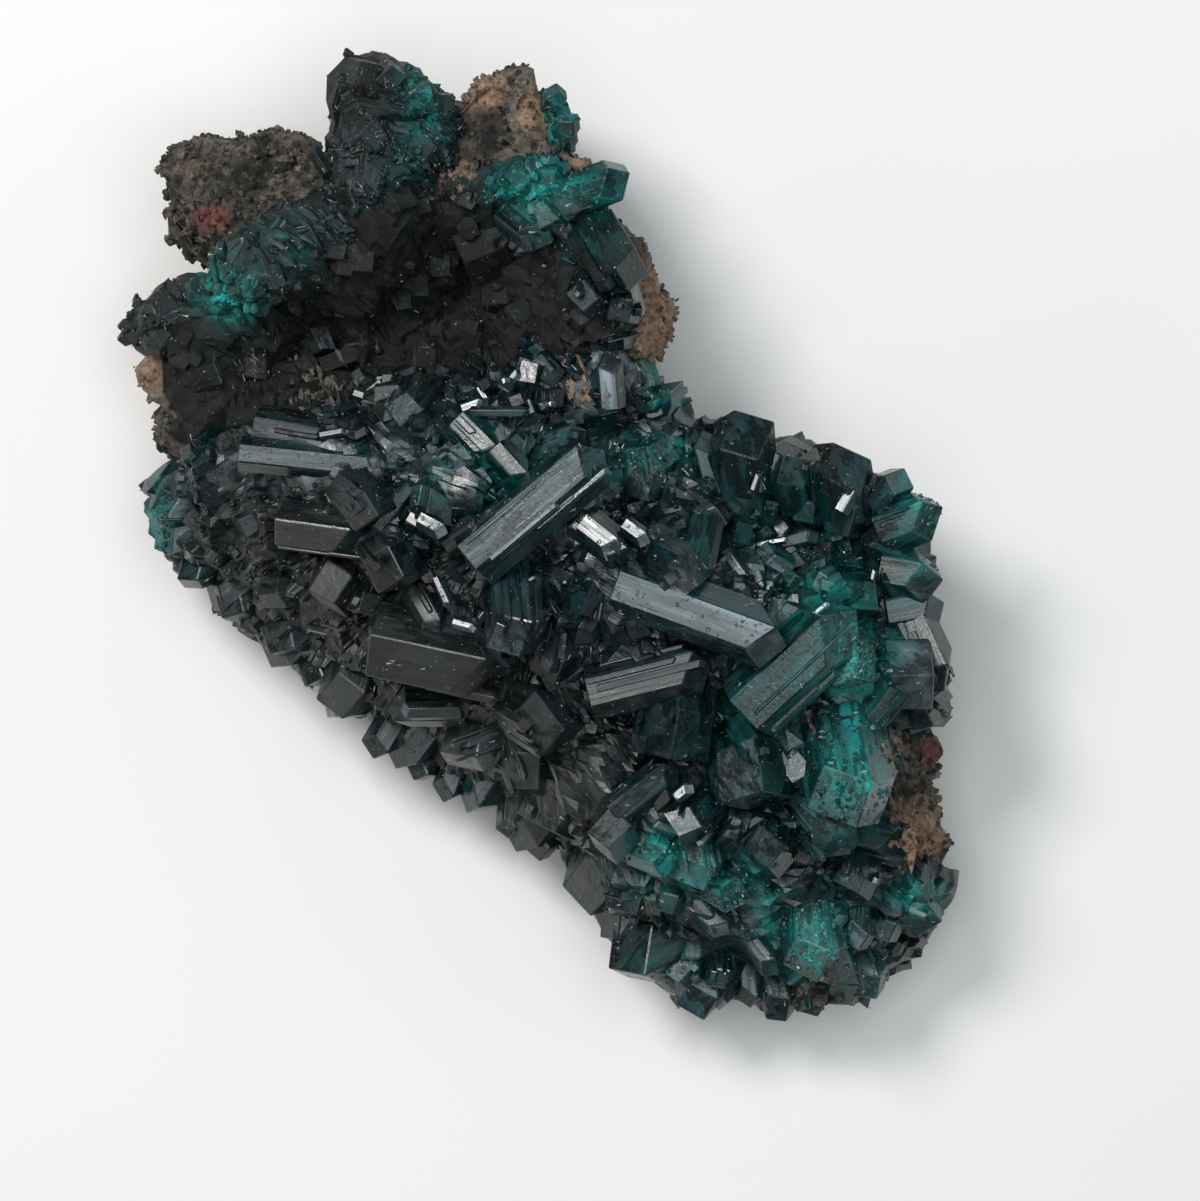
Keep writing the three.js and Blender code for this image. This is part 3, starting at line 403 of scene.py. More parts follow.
def inner_height(x, y):
    """A table, rise * exp(-(u^2 + v^2)) for each swelling, u and v along its half lengths, and two sines."""
    total = np.full(np.shape(x), TABLE_HEIGHT, float)
    for at, reach, turn, rise in RELIEF.values():
        cx, cy = from_sheet(at)
        c, s = np.cos(np.radians(turn)), np.sin(np.radians(turn))
        u = ((x - cx) * c + (y - cy) * s) / reach[0]
        v = ((y - cy) * c - (x - cx) * s) / reach[1]
        total += rise * np.exp(-(u * u + v * v))
    k = 2 * np.pi / LUMPS[0]
    return total + LUMPS[1] * (np.sin(k * (x + 0.6 * y)) + np.sin(k * (y - 0.7 * x) + 1.3))


def edge_height(x, y):
    """A tilted plane, held above its lowest value."""
    return np.maximum(LOWEST_EDGE, EDGE_AT_MIDDLE + EDGE_SLOPE[0] * x + EDGE_SLOPE[1] * y)


def face_height(x, y):
    """The inner height near the hub and the edge height at the outline, mixed by a power of the share."""
    share = np.minimum(1, outward_share(x, y))
    inside = 1 - share**ROUNDING
    return edge_height(x, y) * (1 - inside) + inner_height(x, y) * inside


def spots(table, x, y):
    """The strongest of strength * exp(-(u^2 + v^2)) over a table of spots on the sheet."""
    found = np.zeros(np.shape(x))
    for sx, sy, reach_x, reach_y, strength in table:
        cx, cy = from_sheet((sx, sy))
        square = ((x - cx) / reach_x) ** 2 + ((y - cy) / reach_y) ** 2
        found = np.maximum(found, strength * np.exp(-square))
    return found


def lattice(cell, seed):
    """A whole-number hash of three lattice coordinates, spread evenly from 0 to 1."""
    ix, iy, iz = np.moveaxis(np.asarray(cell).astype(np.int64).astype(np.uint32), -1, 0)
    h = ix * np.uint32(0x8DA6B343) ^ iy * np.uint32(0xD8163841) ^ iz * np.uint32(0xCB1AB31F)
    h = h ^ np.uint32((seed * 0x9E3779B1) & 0xFFFFFFFF)
    h = (h ^ (h >> np.uint32(13))) * np.uint32(0x5BD1E995)
    h = (h ^ (h >> np.uint32(15))) * np.uint32(0x27D4EB2D)
    return (h >> np.uint32(8)) / float(1 << 24)


def noise(points, size, seed, octaves=1):
    """Lattice values from -1 to 1, joined by smooth steps, each octave half as large and half as strong."""
    total, strength, whole = 0.0, 1.0, 0.0
    for octave in range(octaves):
        q = points / (size / 2**octave) + 17.3 * octave
        base = np.floor(q)
        part = q - base
        part = part * part * (3 - 2 * part)
        value = 0.0
        for corner in itertools.product((0, 1), repeat=3):
            weight = np.prod(np.where(np.array(corner) == 1, part, 1 - part), axis=-1)
            value = value + weight * lattice(base + np.array(corner), seed + octave)
        total = total + strength * (2 * value - 1)
        whole += strength
        strength *= 0.5
    return total / whole


def cells(points, size, seed):
    """The nearest of one random centre for each lattice cell: distance over size, cell's number and way."""
    q = points / size
    base = np.floor(q)
    nearest = np.full(q.shape[:-1], np.inf)
    owner = np.zeros(q.shape[:-1])
    way = np.zeros(q.shape)
    for step in itertools.product((-1, 0, 1), repeat=3):
        cell = base + np.array(step)
        centre = cell + np.stack([lattice(cell, seed + k) for k in (1, 2, 3)], -1)
        gap = q - centre
        distance = (gap**2).sum(-1)
        closer = distance < nearest
        nearest = np.where(closer, distance, nearest)
        owner = np.where(closer, lattice(cell, seed + 9), owner)
        way = np.where(closer[..., None], gap * size, way)
    return np.sqrt(nearest), owner, way


def rock_grid(columns, face_rows, side_rows, back_rows):
    """The smooth rock as rows of points: shares of the outline from the hub out, down the side and in again.

    Returns the points, the outward normals and the share of each row.
    """
    angle = np.linspace(0, 2 * np.pi, columns, endpoint=False)
    ray = np.stack([np.cos(angle), np.sin(angle)], -1)
    reach = 1 / outward_share(HUB_PLAN[0] + ray[:, 0], HUB_PLAN[1] + ray[:, 1])
    face = SIDE_RINGS[0][0] * (1 - (1 - np.linspace(0.008, 1, face_rows)) ** 1.5)
    knots = np.arange(len(SIDE_RINGS))
    step = np.linspace(0, len(SIDE_RINGS) - 1, side_rows + 1)[1:]
    side = np.interp(step, knots, [share for share, _ in SIDE_RINGS])
    back = FOOT_SHARE * np.linspace(1, 0.012, back_rows + 1)[1:]
    shares = np.concatenate([face, side, back])
    plan = HUB_PLAN + shares[:, None, None] * reach[None, :, None] * ray[None]
    x, y = plan[..., 0], plan[..., 1]
    edge = edge_height(*(HUB_PLAN[:, None] + (reach[:, None] * ray).T))
    height = np.zeros(x.shape)
    height[:face_rows] = face_height(x[:face_rows], y[:face_rows])
    start = height[face_rows - 1]
    rises = [start] + [rise * edge for _, rise in SIDE_RINGS[1:]]
    rises = np.array(rises)
    low = np.minimum(step.astype(int), len(SIDE_RINGS) - 2)
    mix = (step - low)[:, None]
    height[face_rows:face_rows + side_rows] = rises[low] * (1 - mix) + rises[low + 1] * mix
    points = np.stack([x, y, height], -1)
    return points, grid_normals(points), shares


def grid_normals(points):
    """The cross product of the two ways along a grid that wraps round in its second direction."""
    along = np.gradient(points, axis=0)
    across = np.roll(points, -1, axis=1) - np.roll(points, 1, axis=1)
    normal = np.cross(along, across)
    return normal / np.maximum(np.linalg.norm(normal, axis=-1, keepdims=True), 1e-9)


def inside_outline(outline, x, y):
    """Signed distance to a polygon in plan, positive inside: nearest segment, and parity of crossings."""
    corners = from_sheet(outline)
    nearest = np.full(np.shape(x), np.inf)
    inside = np.zeros(np.shape(x), bool)
    for (ax, ay), (bx, by) in zip(corners, np.roll(corners, -1, axis=0)):
        ex, ey = bx - ax, by - ay
        t = np.clip(((x - ax) * ex + (y - ay) * ey) / (ex * ex + ey * ey), 0, 1)
        nearest = np.minimum(nearest, np.hypot(x - ax - t * ex, y - ay - t * ey))
        crossing = (ay > y) != (by > y)
        inside ^= crossing & (x < ax + (y - ay) * ex / (ey if ey else 1e-9))
    return np.where(inside, nearest, -nearest)


def new_piece(name, places, faces, stands_for, material, attributes=(), smooth=False):
    """A mesh object from points in millimetres and lists of corners, riding on the specimen's one body."""
    mesh = bpy.data.meshes.new(name)
    mesh.from_pydata((np.asarray(places) + TO_MIDDLE) * MM, [], faces)
    for title, kind, domain, values in attributes:
        layer = mesh.attributes.new(title, kind, domain)
        key = {"FLOAT_COLOR": "color", "FLOAT_VECTOR": "vector"}[kind]
        layer.data.foreach_set(key, np.asarray(values, np.float32).ravel())
    mesh.polygons.foreach_set("use_smooth", np.full(len(mesh.polygons), smooth))
    mesh.materials.append(material)
    mesh.update()
    piece = bpy.data.objects.new(name, mesh)
    bpy.context.scene.collection.objects.link(piece)
    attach(piece, "root")
    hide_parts(stands_for)
    return piece


def bevel(piece, width):
    """Chamfers every sharp edge, so that it catches a thin line of light."""
    modifier = piece.modifiers.new("edge_chamfer", "BEVEL")
    modifier.width = width * MM
    modifier.segments = 1
    modifier.limit_method = "ANGLE"
    modifier.angle_limit = np.radians(25)
    modifier.use_clamp_overlap = False


def growth(places, tint, teal, brown):
    """The colour that carries a crystal's tone: red the tint, green teal, blue the painted brownish shade
    and reflection, alpha the frosting with its painted highlight.
    """
    x, y = places[..., 0], places[..., 1]
    # dark spots: deep tone, partly painted shade
    tint = tint * (1 - spots(DARK_SPOTS, x, y))
    patch = np.clip(0.75 + 0.9 * noise(places, 3.2, 23, 2), 0, 1.3)
    bright = np.clip(np.maximum(spots(BRIGHT_SPOTS, x, y) * patch, teal * patch), 0, 1)
    # painted brownish shade and reflection, from the brown spots and the crust's "brown"
    brown_shade = np.clip(np.maximum(spots(BROWN_SPOTS, x, y), brown), 0, 1)
    # pale spots: frosting, partly a painted highlight
    pale = spots(PALE_SPOTS, x, y)
    return np.stack(np.broadcast_arrays(tint, bright, brown_shade * (1 - bright), pale), -1)


def uncovered(x, y, z, shares):
    """Where the rock is bare, from 0 under a crust to 1 a little outside all of them."""
    covers = [crust_cover(key, x, y, z, shares) for key in CRUSTS]
    return np.clip(-np.max(covers, axis=0) / 1.0, 0, 1)


def crust_cover(key, x, y, z, shares):
    """How far inside its border a crust is: across in plan, down the side, and in from the rock's edge."""
    plan = CRUSTS[key]
    shares = np.broadcast_to(shares[:, None], x.shape)
    within = inside_outline(plan["outline"], x, y) + plan["reach"]
    lowest = np.maximum(edge_height(x, y) - plan["depth"], LOWEST_CRUST)
    return np.minimum(np.minimum(within, z - lowest), ROCK_RADIUS * (plan["widest"] - shares))


def make_rock(name, material, grain, ledge):
    """The host rock: the smooth grid pushed along its normals by broad lumps, blocks and rounded grains.

    offset = ledge * (block number - 0.6) + lumps + grain * (0.7 - distance to the nearest grain's middle,
    squared) - 1.3 * pit, where a pit is the middle of about two cells in three
    """
    columns, face_rows, side_rows, _ = ROCK_ROWS
    points, normals, shares = rock_grid(*ROCK_ROWS)
    x, y = points[..., 0], points[..., 1]
    bare = uncovered(x, y, points[..., 2], shares)
    _, block, _ = cells(points + 0.8 * noise(points, 3, 13)[..., None], 4.2, 31)
    medium, _, _ = cells(points + 0.4 * noise(points, 1.5, 14)[..., None], 2.0, 47)
    small, number, _ = cells(points, 0.95, 53)
    middle, chance, _ = cells(points + 0.5 * noise(points, 1.2, 15)[..., None], 1.5, 67)
    pit = np.clip(0.62 - middle, 0, 0.5) * 2 * (chance > 0.35) * bare * (1 - 0.7 * spots(TAN_SPOTS, x, y))
    offset = ledge * (block - 0.6) + 0.9 * noise(points, 6, 5, 4)
    offset = offset + 2.4 * grain * (0.7 - medium**2) + grain * (0.6 - small**2) * (0.4 + number) - 1.3 * pit
    offset = offset * (0.12 + 0.88 * bare) - 0.25 * bare - 0.35 * (1 - bare)
    back = np.arange(len(shares)) >= face_rows + side_rows - 2
    offset[back] = -np.maximum(0, 0.25 * noise(points[back], 3, 8, 2))
    moved = points + normals * offset[..., None]
    foot = np.arange(len(shares)) >= face_rows + side_rows - 1
    moved[foot, :, 2] = np.abs(moved[foot, :, 2])
    moved[..., 2] = np.maximum(moved[..., 2], 0)
    rows = len(shares)
    i = np.arange((rows - 1) * columns)
    right = i - i % columns + (i + 1) % columns
    quads = np.stack([i, i + columns, right + columns, right], -1)
    ends = [list(range(columns)), list(range(rows * columns - 1, (rows - 1) * columns - 1, -1))]
    tan = spots(TAN_SPOTS, x, y)
    # the third part is the grain's number, zero in the pits: painted shade that darkens them
    stain = np.stack([tan, spots(RUST_SPOTS, x, y), block * (1 - pit), 1 - pit], -1)
    attributes = [("stain", "FLOAT_COLOR", "POINT", stain)]
    faces = quads.tolist() + ends
    new_piece(name, moved.reshape(-1, 3), faces, "host_rock", material, attributes, True)
    area = grid_area(moved) * (bare[:-1] > 0.6) * (moved[:-1, :, 2] > 2.5) * (1 - 0.7 * tan[:-1])
    return ground(moved[:-1], grid_normals(moved)[:-1], area)


def grid_area(points):
    """The area of each quad of a wrapped grid."""
    down = points[1:] - points[:-1]
    across = (np.roll(points, -1, 1) - points)[:-1]
    return np.linalg.norm(np.cross(down, across), axis=-1)


def picked(sites, count):
    """Random places of a ground, chosen by weight and strayed sideways by about 0.15 mm, with normals."""
    points, normals, weights = sites
    i = RNG.choice(len(weights), count, p=weights / weights.sum())
    stray = 0.15 * RNG.normal(size=(count, 3))
    return points[i] + stray - (stray * normals[i]).sum(-1, keepdims=True) * normals[i], normals[i]


def ground(points, normals, weights):
    """Places where something can sit: points, outward normals and how likely each is, as flat arrays."""
    return points.reshape(-1, 3), normals.reshape(-1, 3), weights.ravel()


def make_grains(name, sites, count, sizes, tan=0.0, rust=0.0, fibrous=0.0):
    """Broken grains: twenty-faced lumps stretched and dented at random, lying half sunk on their sites.

    A fibrous set is drawn out along one heading of its own, each grain by up to four times.
    """
    points, _ = picked(sites, count)
    low, high = sizes
    radius = (low + (high - low) * RNG.uniform(0, 1, count) ** 2.2) / 2
    golden = (1 + 5**0.5) / 2
    ring = np.array([(-1, golden, 0), (1, golden, 0), (-1, -golden, 0), (1, -golden, 0)])
    ring = ring / np.hypot(1, golden)
    corners = np.concatenate([np.roll(ring, step, axis=1) for step in range(3)])
    near = np.linalg.norm(corners[:, None] - corners[None], axis=-1) < 1.2
    threes = itertools.combinations(range(12), 3)
    faces = [(a, b, c) for a, b, c in threes if near[a, b] and near[b, c] and near[a, c]]
    faces = [f if np.linalg.det(corners[list(f)]) > 0 else f[::-1] for f in faces]
    turn = np.linalg.qr(RNG.normal(size=(count, 3, 3)))[0]
    turn *= np.sign(np.linalg.det(turn))[:, None, None]
    lump = corners[None] * RNG.uniform(0.55, 1.3, (count, 12, 1)) * RNG.uniform(0.55, 1.2, (count, 1, 3))
    lump = lump @ turn
    heading = unit(np.array([0.35, -0.9, 0.3]) + 0.35 * RNG.normal(size=(count, 3)))
    drawn = fibrous * RNG.uniform(0.5, 4.0, count)
    lump = lump + drawn[:, None, None] * (lump @ heading[..., None]) * heading[:, None]
    places = points[:, None] + radius[:, None, None] * lump
    index = (12 * np.arange(count)[:, None, None] + np.array(faces)[None]).reshape(-1, 3)
    x, y = points[:, 0], points[:, 1]
    stain = np.stack([
        np.maximum(spots(TAN_SPOTS, x, y), tan), np.maximum(spots(RUST_SPOTS, x, y), rust),
        RNG.uniform(0, 1, count), RNG.uniform(0, 1, count)], -1)
    attributes = [("stain", "FLOAT_COLOR", "POINT", np.repeat(stain, 12, axis=0))]
    material = MATERIALS["host_rock"]
    new_piece(name, places.reshape(-1, 3), index.tolist(), "host_rock", material, attributes)


def make_skin(key, material, relief):
    """The fused roots of a crust: a shell over the smooth rock inside an outline, thin at its border.

    top = gap + crust * cover + relief * facets, each facet a plane tilted about a random cell's middle
    """
    plan = CRUSTS[key]
    columns, _, _, back_rows = SKIN_ROWS
    points, normals, shares = (rows[:-back_rows] for rows in rock_grid(*SKIN_ROWS))
    x, y, z = np.moveaxis(points, -1, 0)
    cover = crust_cover(key, x, y, z, shares) + 0.9 * noise(points, 2.6, 61, 2)
    fullness = np.clip(cover / 1.6, 0, 1) ** 0.5
    facets = 0.0
    for size, strength, seed in ((plan["facet"], 1.0, 71), (plan["facet"] * 0.42, 0.5, 83)):
        _, owner, way = cells(points, size, seed)
        lean = np.stack([owner * 7 % 1, owner * 13 % 1, owner * 29 % 1], -1) - 0.5
        facets = facets + strength * (0.7 * (owner - 0.5) + 2.2 / size * (way * lean).sum(-1))
    facets = facets + plan["lumps"] * noise(points, 4.5, 91, 3)
    buried = -0.5
    top = buried + (GAP + 0.8 * CRUST + plan["thicker"] - buried) * fullness + relief * facets * fullness
    upper = points + normals * top[..., None]
    lower = points + normals * (buried - 0.25)
    rows = len(points)
    used = (cover[:-1] > 0) & (cover[1:] > 0)
    used &= np.roll(used, -1, axis=1) & (np.roll(cover, -1, axis=1)[:-1] > 0)
    grid = np.arange(rows * columns).reshape(rows, columns)
    a, b = grid[:-1], grid[1:]
    c, d = np.roll(b, -1, axis=1), np.roll(a, -1, axis=1)
    count = rows * columns
    faces = [np.stack([a, b, c, d], -1)[used], np.stack([d, c, b, a], -1)[used] + count]
    padded = np.pad(used, ((1, 1), (0, 0)))
    borders = [
        (~padded[:-2] & used, d, a),
        (~padded[2:] & used, b, c),
        (~np.roll(used, 1, axis=1) & used, a, b),
        (~np.roll(used, -1, axis=1) & used, c, d),
    ]
    for edge, first, second in borders:
        faces.append(np.stack([second, first, first + count, second + count], -1)[edge])
    kept, faces = np.unique(np.concatenate(faces), return_inverse=True)
    places = np.concatenate([upper.reshape(-1, 3), lower.reshape(-1, 3)])[kept]
    tone = growth(places, 0.3, plan["teal"], plan["brown"])
    attributes = [
        ("growth", "FLOAT_COLOR", "POINT", tone),
        ("lengthwise", "FLOAT_VECTOR", "POINT", 0.6 * places),
    ]
    new_piece(key + "_roots", places, faces.reshape(-1, 4).tolist(), key, material, attributes)
    return ground(upper[:-1], normals[:-1], np.where(used, grid_area(upper), 0))


def crystals_of(root, axis, up, length, width, tint, pale=0.0):
    """A set of crystals: root middles, unit axes, the way one side faces, sizes, tint and paleness.

    Paleness is a painted highlight: pale grey on the faces that look up, given to the glints.
    """
    up = up - (up * axis).sum(-1, keepdims=True) * axis
    up /= np.linalg.norm(up, axis=-1, keepdims=True)
    side = np.cross(axis, up)
    pale = np.full(len(length), pale)
    return {
        "root": root, "axis": axis, "up": up, "side": side, "length": length, "width": width, "tint": tint,
        "pale": pale,
    }


def unit(vectors):
    """The same directions at length 1."""
    return vectors / np.linalg.norm(vectors, axis=-1, keepdims=True)


def turned(rows):
    """The crystals of a table, rooted in the smooth face, with one side of the prism up at a turn of 0."""
    rows = np.array(rows, float)
    plan = from_sheet(rows[:, :2])
    heading, rise, turn = np.radians(rows[:, 2]), np.radians(rows[:, 3]), np.radians(rows[:, 6])
    length, width = rows[:, 4], rows[:, 5]
    (c, s), (level, climb) = (np.cos(heading), np.sin(heading)), (np.cos(rise), np.sin(rise))
    axis = np.stack([level * c, level * s, climb], -1)
    up = np.stack([-climb * c, -climb * s, level], -1)
    lift = LYING_LIFT * width * level + (0.5 - SUNK_SHARE) * length * climb
    height = face_height(plan[:, 0], plan[:, 1]) + GAP + CRUST + lift
    root = np.column_stack([plan, height]) - axis * (length / 2)[:, None]
    up = np.cos(turn)[:, None] * up + np.sin(turn)[:, None] * np.cross(axis, up)
    return crystals_of(root, axis, up, length, width, RNG.uniform(0, 1, len(rows)))


def mirroring(rows):
    """Lying crystals whose upper side faces have the half-way normal between key light and camera.

    Those faces also get a painted highlight: paleness 0.9, pale grey on the faces that look up.
    """
    rows = np.array(rows, float)
    plan = from_sheet(rows[:, :2])
    heading = np.radians(rows[:, 2])
    height = face_height(plan[:, 0], plan[:, 1]) + GAP + CRUST + rows[:, 5] - rows[:, 4] / 2
    place = np.column_stack([plan, height])
    key_light = np.array(LIGHTS[0][1])
    normal = unit(unit(key_light / MM - place) + unit(np.array(CAMERA_PLACE) / MM - place))
    level = np.cos(heading) * normal[:, 0] + np.sin(heading) * normal[:, 1]
    axis = unit(np.stack([np.cos(heading), np.sin(heading), -level / normal[:, 2]], -1))
    root = place - axis * (rows[:, 3:4] / 2)
    # paleness 0.9: a painted highlight on the glints' upper faces
    return crystals_of(root, axis, normal, rows[:, 3], rows[:, 4], np.ones(len(rows)), 0.9)


def parallel_growth(parents, per_width):
    """Thin prisms grown against a parent's upper faces, with its axis and faces, standing a little proud."""
    middle = parents["root"] + parents["axis"] * (parents["length"] / 2)[:, None]
    hazy = spots(BRIGHT_SPOTS + PALE_SPOTS, middle[:, 0], middle[:, 1]) > 0.55
    count = RNG.integers(1, 3 + (per_width * parents["width"]).astype(int))
    i = np.repeat(np.arange(len(count)), np.where((parents["width"] > 2.8) & ~hazy, count, 0))
    total = len(i)
    face = np.radians(60) * RNG.integers(-1, 2, total)
    radius = parents["width"][i] / 2
    slim = radius * (0.05 + 0.3 * RNG.uniform(0, 1, total) ** 2)
    out = np.cos(np.radians(30)) * (radius - slim) + radius * RNG.uniform(0.005, 0.05, total)
    across = RNG.uniform(-0.46, 0.46, total) * (radius - 0.6 * slim)
    up, side = parents["up"][i], parents["side"][i]
    c, s = np.cos(face)[:, None], np.sin(face)[:, None]
    length = parents["length"][i] * RNG.uniform(0.3, 0.98, total)
    spare = parents["length"][i] - 0.05 * parents["width"][i] - length
    start = RNG.uniform(0.0, 1.0, total) * spare
    place = parents["root"][i] + out[:, None] * (c * up + s * side) + across[:, None] * (c * side - s * up)
    place = place + parents["axis"][i] * np.maximum(start, 0)[:, None]
    return crystals_of(place, parents["axis"][i], up, length, 2 * slim, parents["tint"][i])


def scattered(sites, count, sizes, spread, sink):
    """Random stout prisms on a ground, mostly small, with sunk roots, and axes alike within a domain.

    axis = normal + spread * (1.5 * noise over 8 mm + 0.4 * a random vector)
    """
    points, normals = picked(sites, count)
    domain = np.stack([noise(points, 8, seed) for seed in (101, 103, 107)], -1)
    axis = unit(normals + spread * (1.5 * domain + 0.4 * RNG.normal(size=(count, 3))))
    low, high = sizes
    width = low + (high - low) * RNG.uniform(0, 1, count) ** 1.8
    length = width * RNG.uniform(0.9, 1.7, count)
    root = points - axis * (sink * length)[:, None]
    up = np.roll(domain, 1, axis=1) + 0.15 * RNG.normal(size=(count, 3))
    tint = np.clip(0.5 + 0.7 * noise(points, 5, 109) + 0.3 * RNG.normal(size=count), 0, 1)
    return crystals_of(root, axis, up, length, width, tint)


def clustered(sites, count, members, sizes, spread, sink):
    """Groups of stout prisms: the first of each as scattered, the others smaller, grown into its sides."""
    seeds = scattered(sites, count, sizes, spread, sink)
    i = np.repeat(np.arange(count), members)
    total = len(i)
    first = np.tile(np.arange(members) == 0, count)
    share = np.where(first, 1.0, RNG.uniform(0.3, 0.75, total))
    axis = unit(seeds["axis"][i] + np.where(first, 0, 0.035)[:, None] * RNG.normal(size=(total, 3)))
    around = RNG.uniform(0, 2 * np.pi, total)
    away = np.where(first, 0, 0.5 * seeds["width"][i] * RNG.uniform(0.5, 1.1, total))
    c, s = np.cos(around)[:, None], np.sin(around)[:, None]
    root = seeds["root"][i] + away[:, None] * (c * seeds["up"][i] + s * seeds["side"][i])
    length = seeds["length"][i] * np.where(first, 1.0, RNG.uniform(0.72, 1.06, total))
    tint = np.clip(seeds["tint"][i] + 0.12 * RNG.normal(size=total), 0, 1)
    return crystals_of(root, axis, seeds["up"][i], length, seeds["width"][i] * share, tint)


def clear_of(small, large):
    """Drops the small crystals whose middles lie under or in a large one, by plan distance to its axis."""
    start, end = large["root"], large["root"] + large["axis"] * large["length"][:, None]
    middle = small["root"] + small["axis"] * (small["length"] * 0.6)[:, None]
    way = (end - start)[:, :2]
    gap = middle[:, None, :2] - start[None, :, :2]
    t = np.clip((gap * way).sum(-1) / np.maximum((way**2).sum(-1), 1e-6), 0, 1)
    distance = np.linalg.norm(gap - t[..., None] * way, axis=-1)
    height = start[:, 2] + t * (end - start)[:, 2] + 0.55 * large["width"]
    blocked = (distance < 0.34 * large["width"]) & (middle[:, None, 2] < height + 0.3)
    keep = ~blocked.any(axis=1)
    return {key: value[keep] for key, value in small.items()}


def joined(groups):
    """Several sets of crystals as one."""
    return {key: np.concatenate([group[key] for group in groups]) for key in groups[0]}


def make_dust(key, sites, count, sizes, material):
    """Pale chips and dust: bent double tetrahedra lying on their sites, a third of them drawn to splinters.

    corners = radius * (three in a ring, one above, one below), each dented at random and turned at random
    """
    points, normals = picked(sites, count)
    low, high = sizes
    radius = (low + (high - low) * RNG.uniform(0, 1, count) ** 3) / 2
    angle = np.radians([0, 120, 240])
    ring = np.stack([np.cos(angle), np.sin(angle), 0 * angle], -1)
    corners = np.concatenate([ring, [(0, 0, 0.8), (0, 0, -0.8)]])
    faces = [(k, (k + 1) % 3, 3) for k in range(3)] + [((k + 1) % 3, k, 4) for k in range(3)]
    drawn = np.where(RNG.uniform(0, 1, count) < 0.35, RNG.uniform(2.0, 4.5, count), 1.0)
    dented = corners[None] * RNG.uniform(0.55, 1.3, (count, 5, 1))
    shape = dented * np.stack(np.broadcast_arrays(drawn, 0.8, 0.8), -1)[:, None]
    along = unit(np.cross(normals, RNG.normal(size=(count, 3))))
    across = np.cross(normals, along)
    places = points[:, None] + radius[:, None, None] * (shape @ np.stack([along, across, normals], 1))
    index = (5 * np.arange(count)[:, None, None] + np.array(faces)[None]).reshape(-1, 3)
    shade = np.repeat(RNG.uniform(0, 1, (count, 1)) ** 1.2 * [1, 1, 1, 1], 5, axis=0)
    attributes = [("shade", "FLOAT_COLOR", "POINT", shade)]
    new_piece(key + "_dust", places.reshape(-1, 3), index.tolist(), key, material, attributes)


def merged(*grounds):
    """Several grounds as one, each with the share of the whole that comes with it."""
    points = np.concatenate([sites[0] for sites, _ in grounds])
    normals = np.concatenate([sites[1] for sites, _ in grounds])
    weights = np.concatenate([sites[2] / sites[2].sum() * share for sites, share in grounds])
    return points, normals, weights


def near_spot(sites, x, y, reach):
    """A ground weighted towards one place on the sheet, and only where it faces up."""
    points, normals, weights = sites
    cx, cy = from_sheet((x, y))
    distance = ((points[:, 0] - cx) ** 2 + (points[:, 1] - cy) ** 2) / reach**2
    return points, normals, weights * np.exp(-distance) * (distance < 4) * (normals[:, 2] > 0.2)


def within_bounds(crystals, widest):
    """Drops the crystals that would reach down to the floor or past a share of the rock's outline."""
    root, tip = crystals["root"], crystals["root"] + crystals["axis"] * crystals["length"][:, None]
    keep = np.minimum(root[:, 2], tip[:, 2]) > LOWEST_SMALL + 0.5 * crystals["width"]
    for end in (root, tip):
        keep &= outward_share(end[:, 0], end[:, 1]) < widest
    return {key: value[keep] for key, value in crystals.items()}


# A crystal's thirteen corners: six at the root, six shoulders and the tip; its sides, end faces and root
SIDES = np.array([[k, (k + 1) % 6, 6 + (k + 1) % 6, 6 + k] for k in range(6)])
ENDS = np.array([[12, 6 + (k + 5) % 6, 6 + k, 7 + k] for k in (0, 2, 4)])
QUADS = np.concatenate([SIDES, ENDS])
ROOT = np.arange(5, -1, -1)


def shaped(crystals, uneven):
    """Corners of six-sided prisms with three sloping end faces, in their own axes and in place.

    corner k = radius * own share * (cos, sin)(60 k + 30); a shoulder lies the same share of the end's drop
    below the tip, or half of it at odd corners, and each end is then leaned
    """
    n = len(crystals["length"])
    angle = np.radians(60 * np.arange(6) + 30)
    radius = crystals["width"] / 2
    drop = np.minimum(MOST_END * crystals["length"], radius * RHOMB_SLOPE)
    share = RNG.uniform(1 - uneven, 1 + 0.5 * uneven, (n, 6))
    across = np.stack([np.cos(angle), np.sin(angle)], -1)[None] * (share * radius[:, None])[..., None]
    lean = RNG.uniform(-0.22, 0.22, (n, 1, 2))
    odd_or_even = np.where(np.arange(6) % 2, 0.5, 1.0)
    tips = crystals["length"][:, None] - drop[:, None] * share * odd_or_even
    local = np.zeros((n, 13, 3))
    local[:, :6, :2] = across
    local[:, 6:12, :2] = across
    local[:, 6:12, 2] = tips + (across * lean).sum(-1)
    local[:, 12, 2] = crystals["length"]
    axes = np.stack([crystals["up"], crystals["side"], crystals["axis"]], 1)
    return local, crystals["root"][:, None] + local @ axes


def everywhere(at):
    """The same weight at every place."""
    return 1.0


def bright_places(at):
    """The brightest places by far the likeliest."""
    return 1e-4 + spots(BRIGHT_SPOTS, at[:, 0], at[:, 1]) ** 3


def sites_on(places, count, weigh=everywhere):
    """Random points on the upper faces of placed crystals, chosen by area and by a weight of the place."""
    corners = places[:, QUADS].reshape(-1, 4, 3)
    cross = np.cross(corners[:, 2] - corners[:, 0], corners[:, 3] - corners[:, 1])
    area = np.linalg.norm(cross, axis=-1)
    normals = cross / np.maximum(area, 1e-9)[:, None]
    weights = area * (normals[:, 2] > 0.05) * weigh(corners.mean(1))
    i = RNG.choice(len(area), count, p=weights / weights.sum())
    s, t = RNG.uniform(0.04, 0.96, (2, count, 1))
    a, b, c, d = np.moveaxis(corners[i], 1, 0)
    points = (a * (1 - s) + b * s) * (1 - t) + (d * (1 - s) + c * s) * t
    return points, normals[i], np.ones(count)


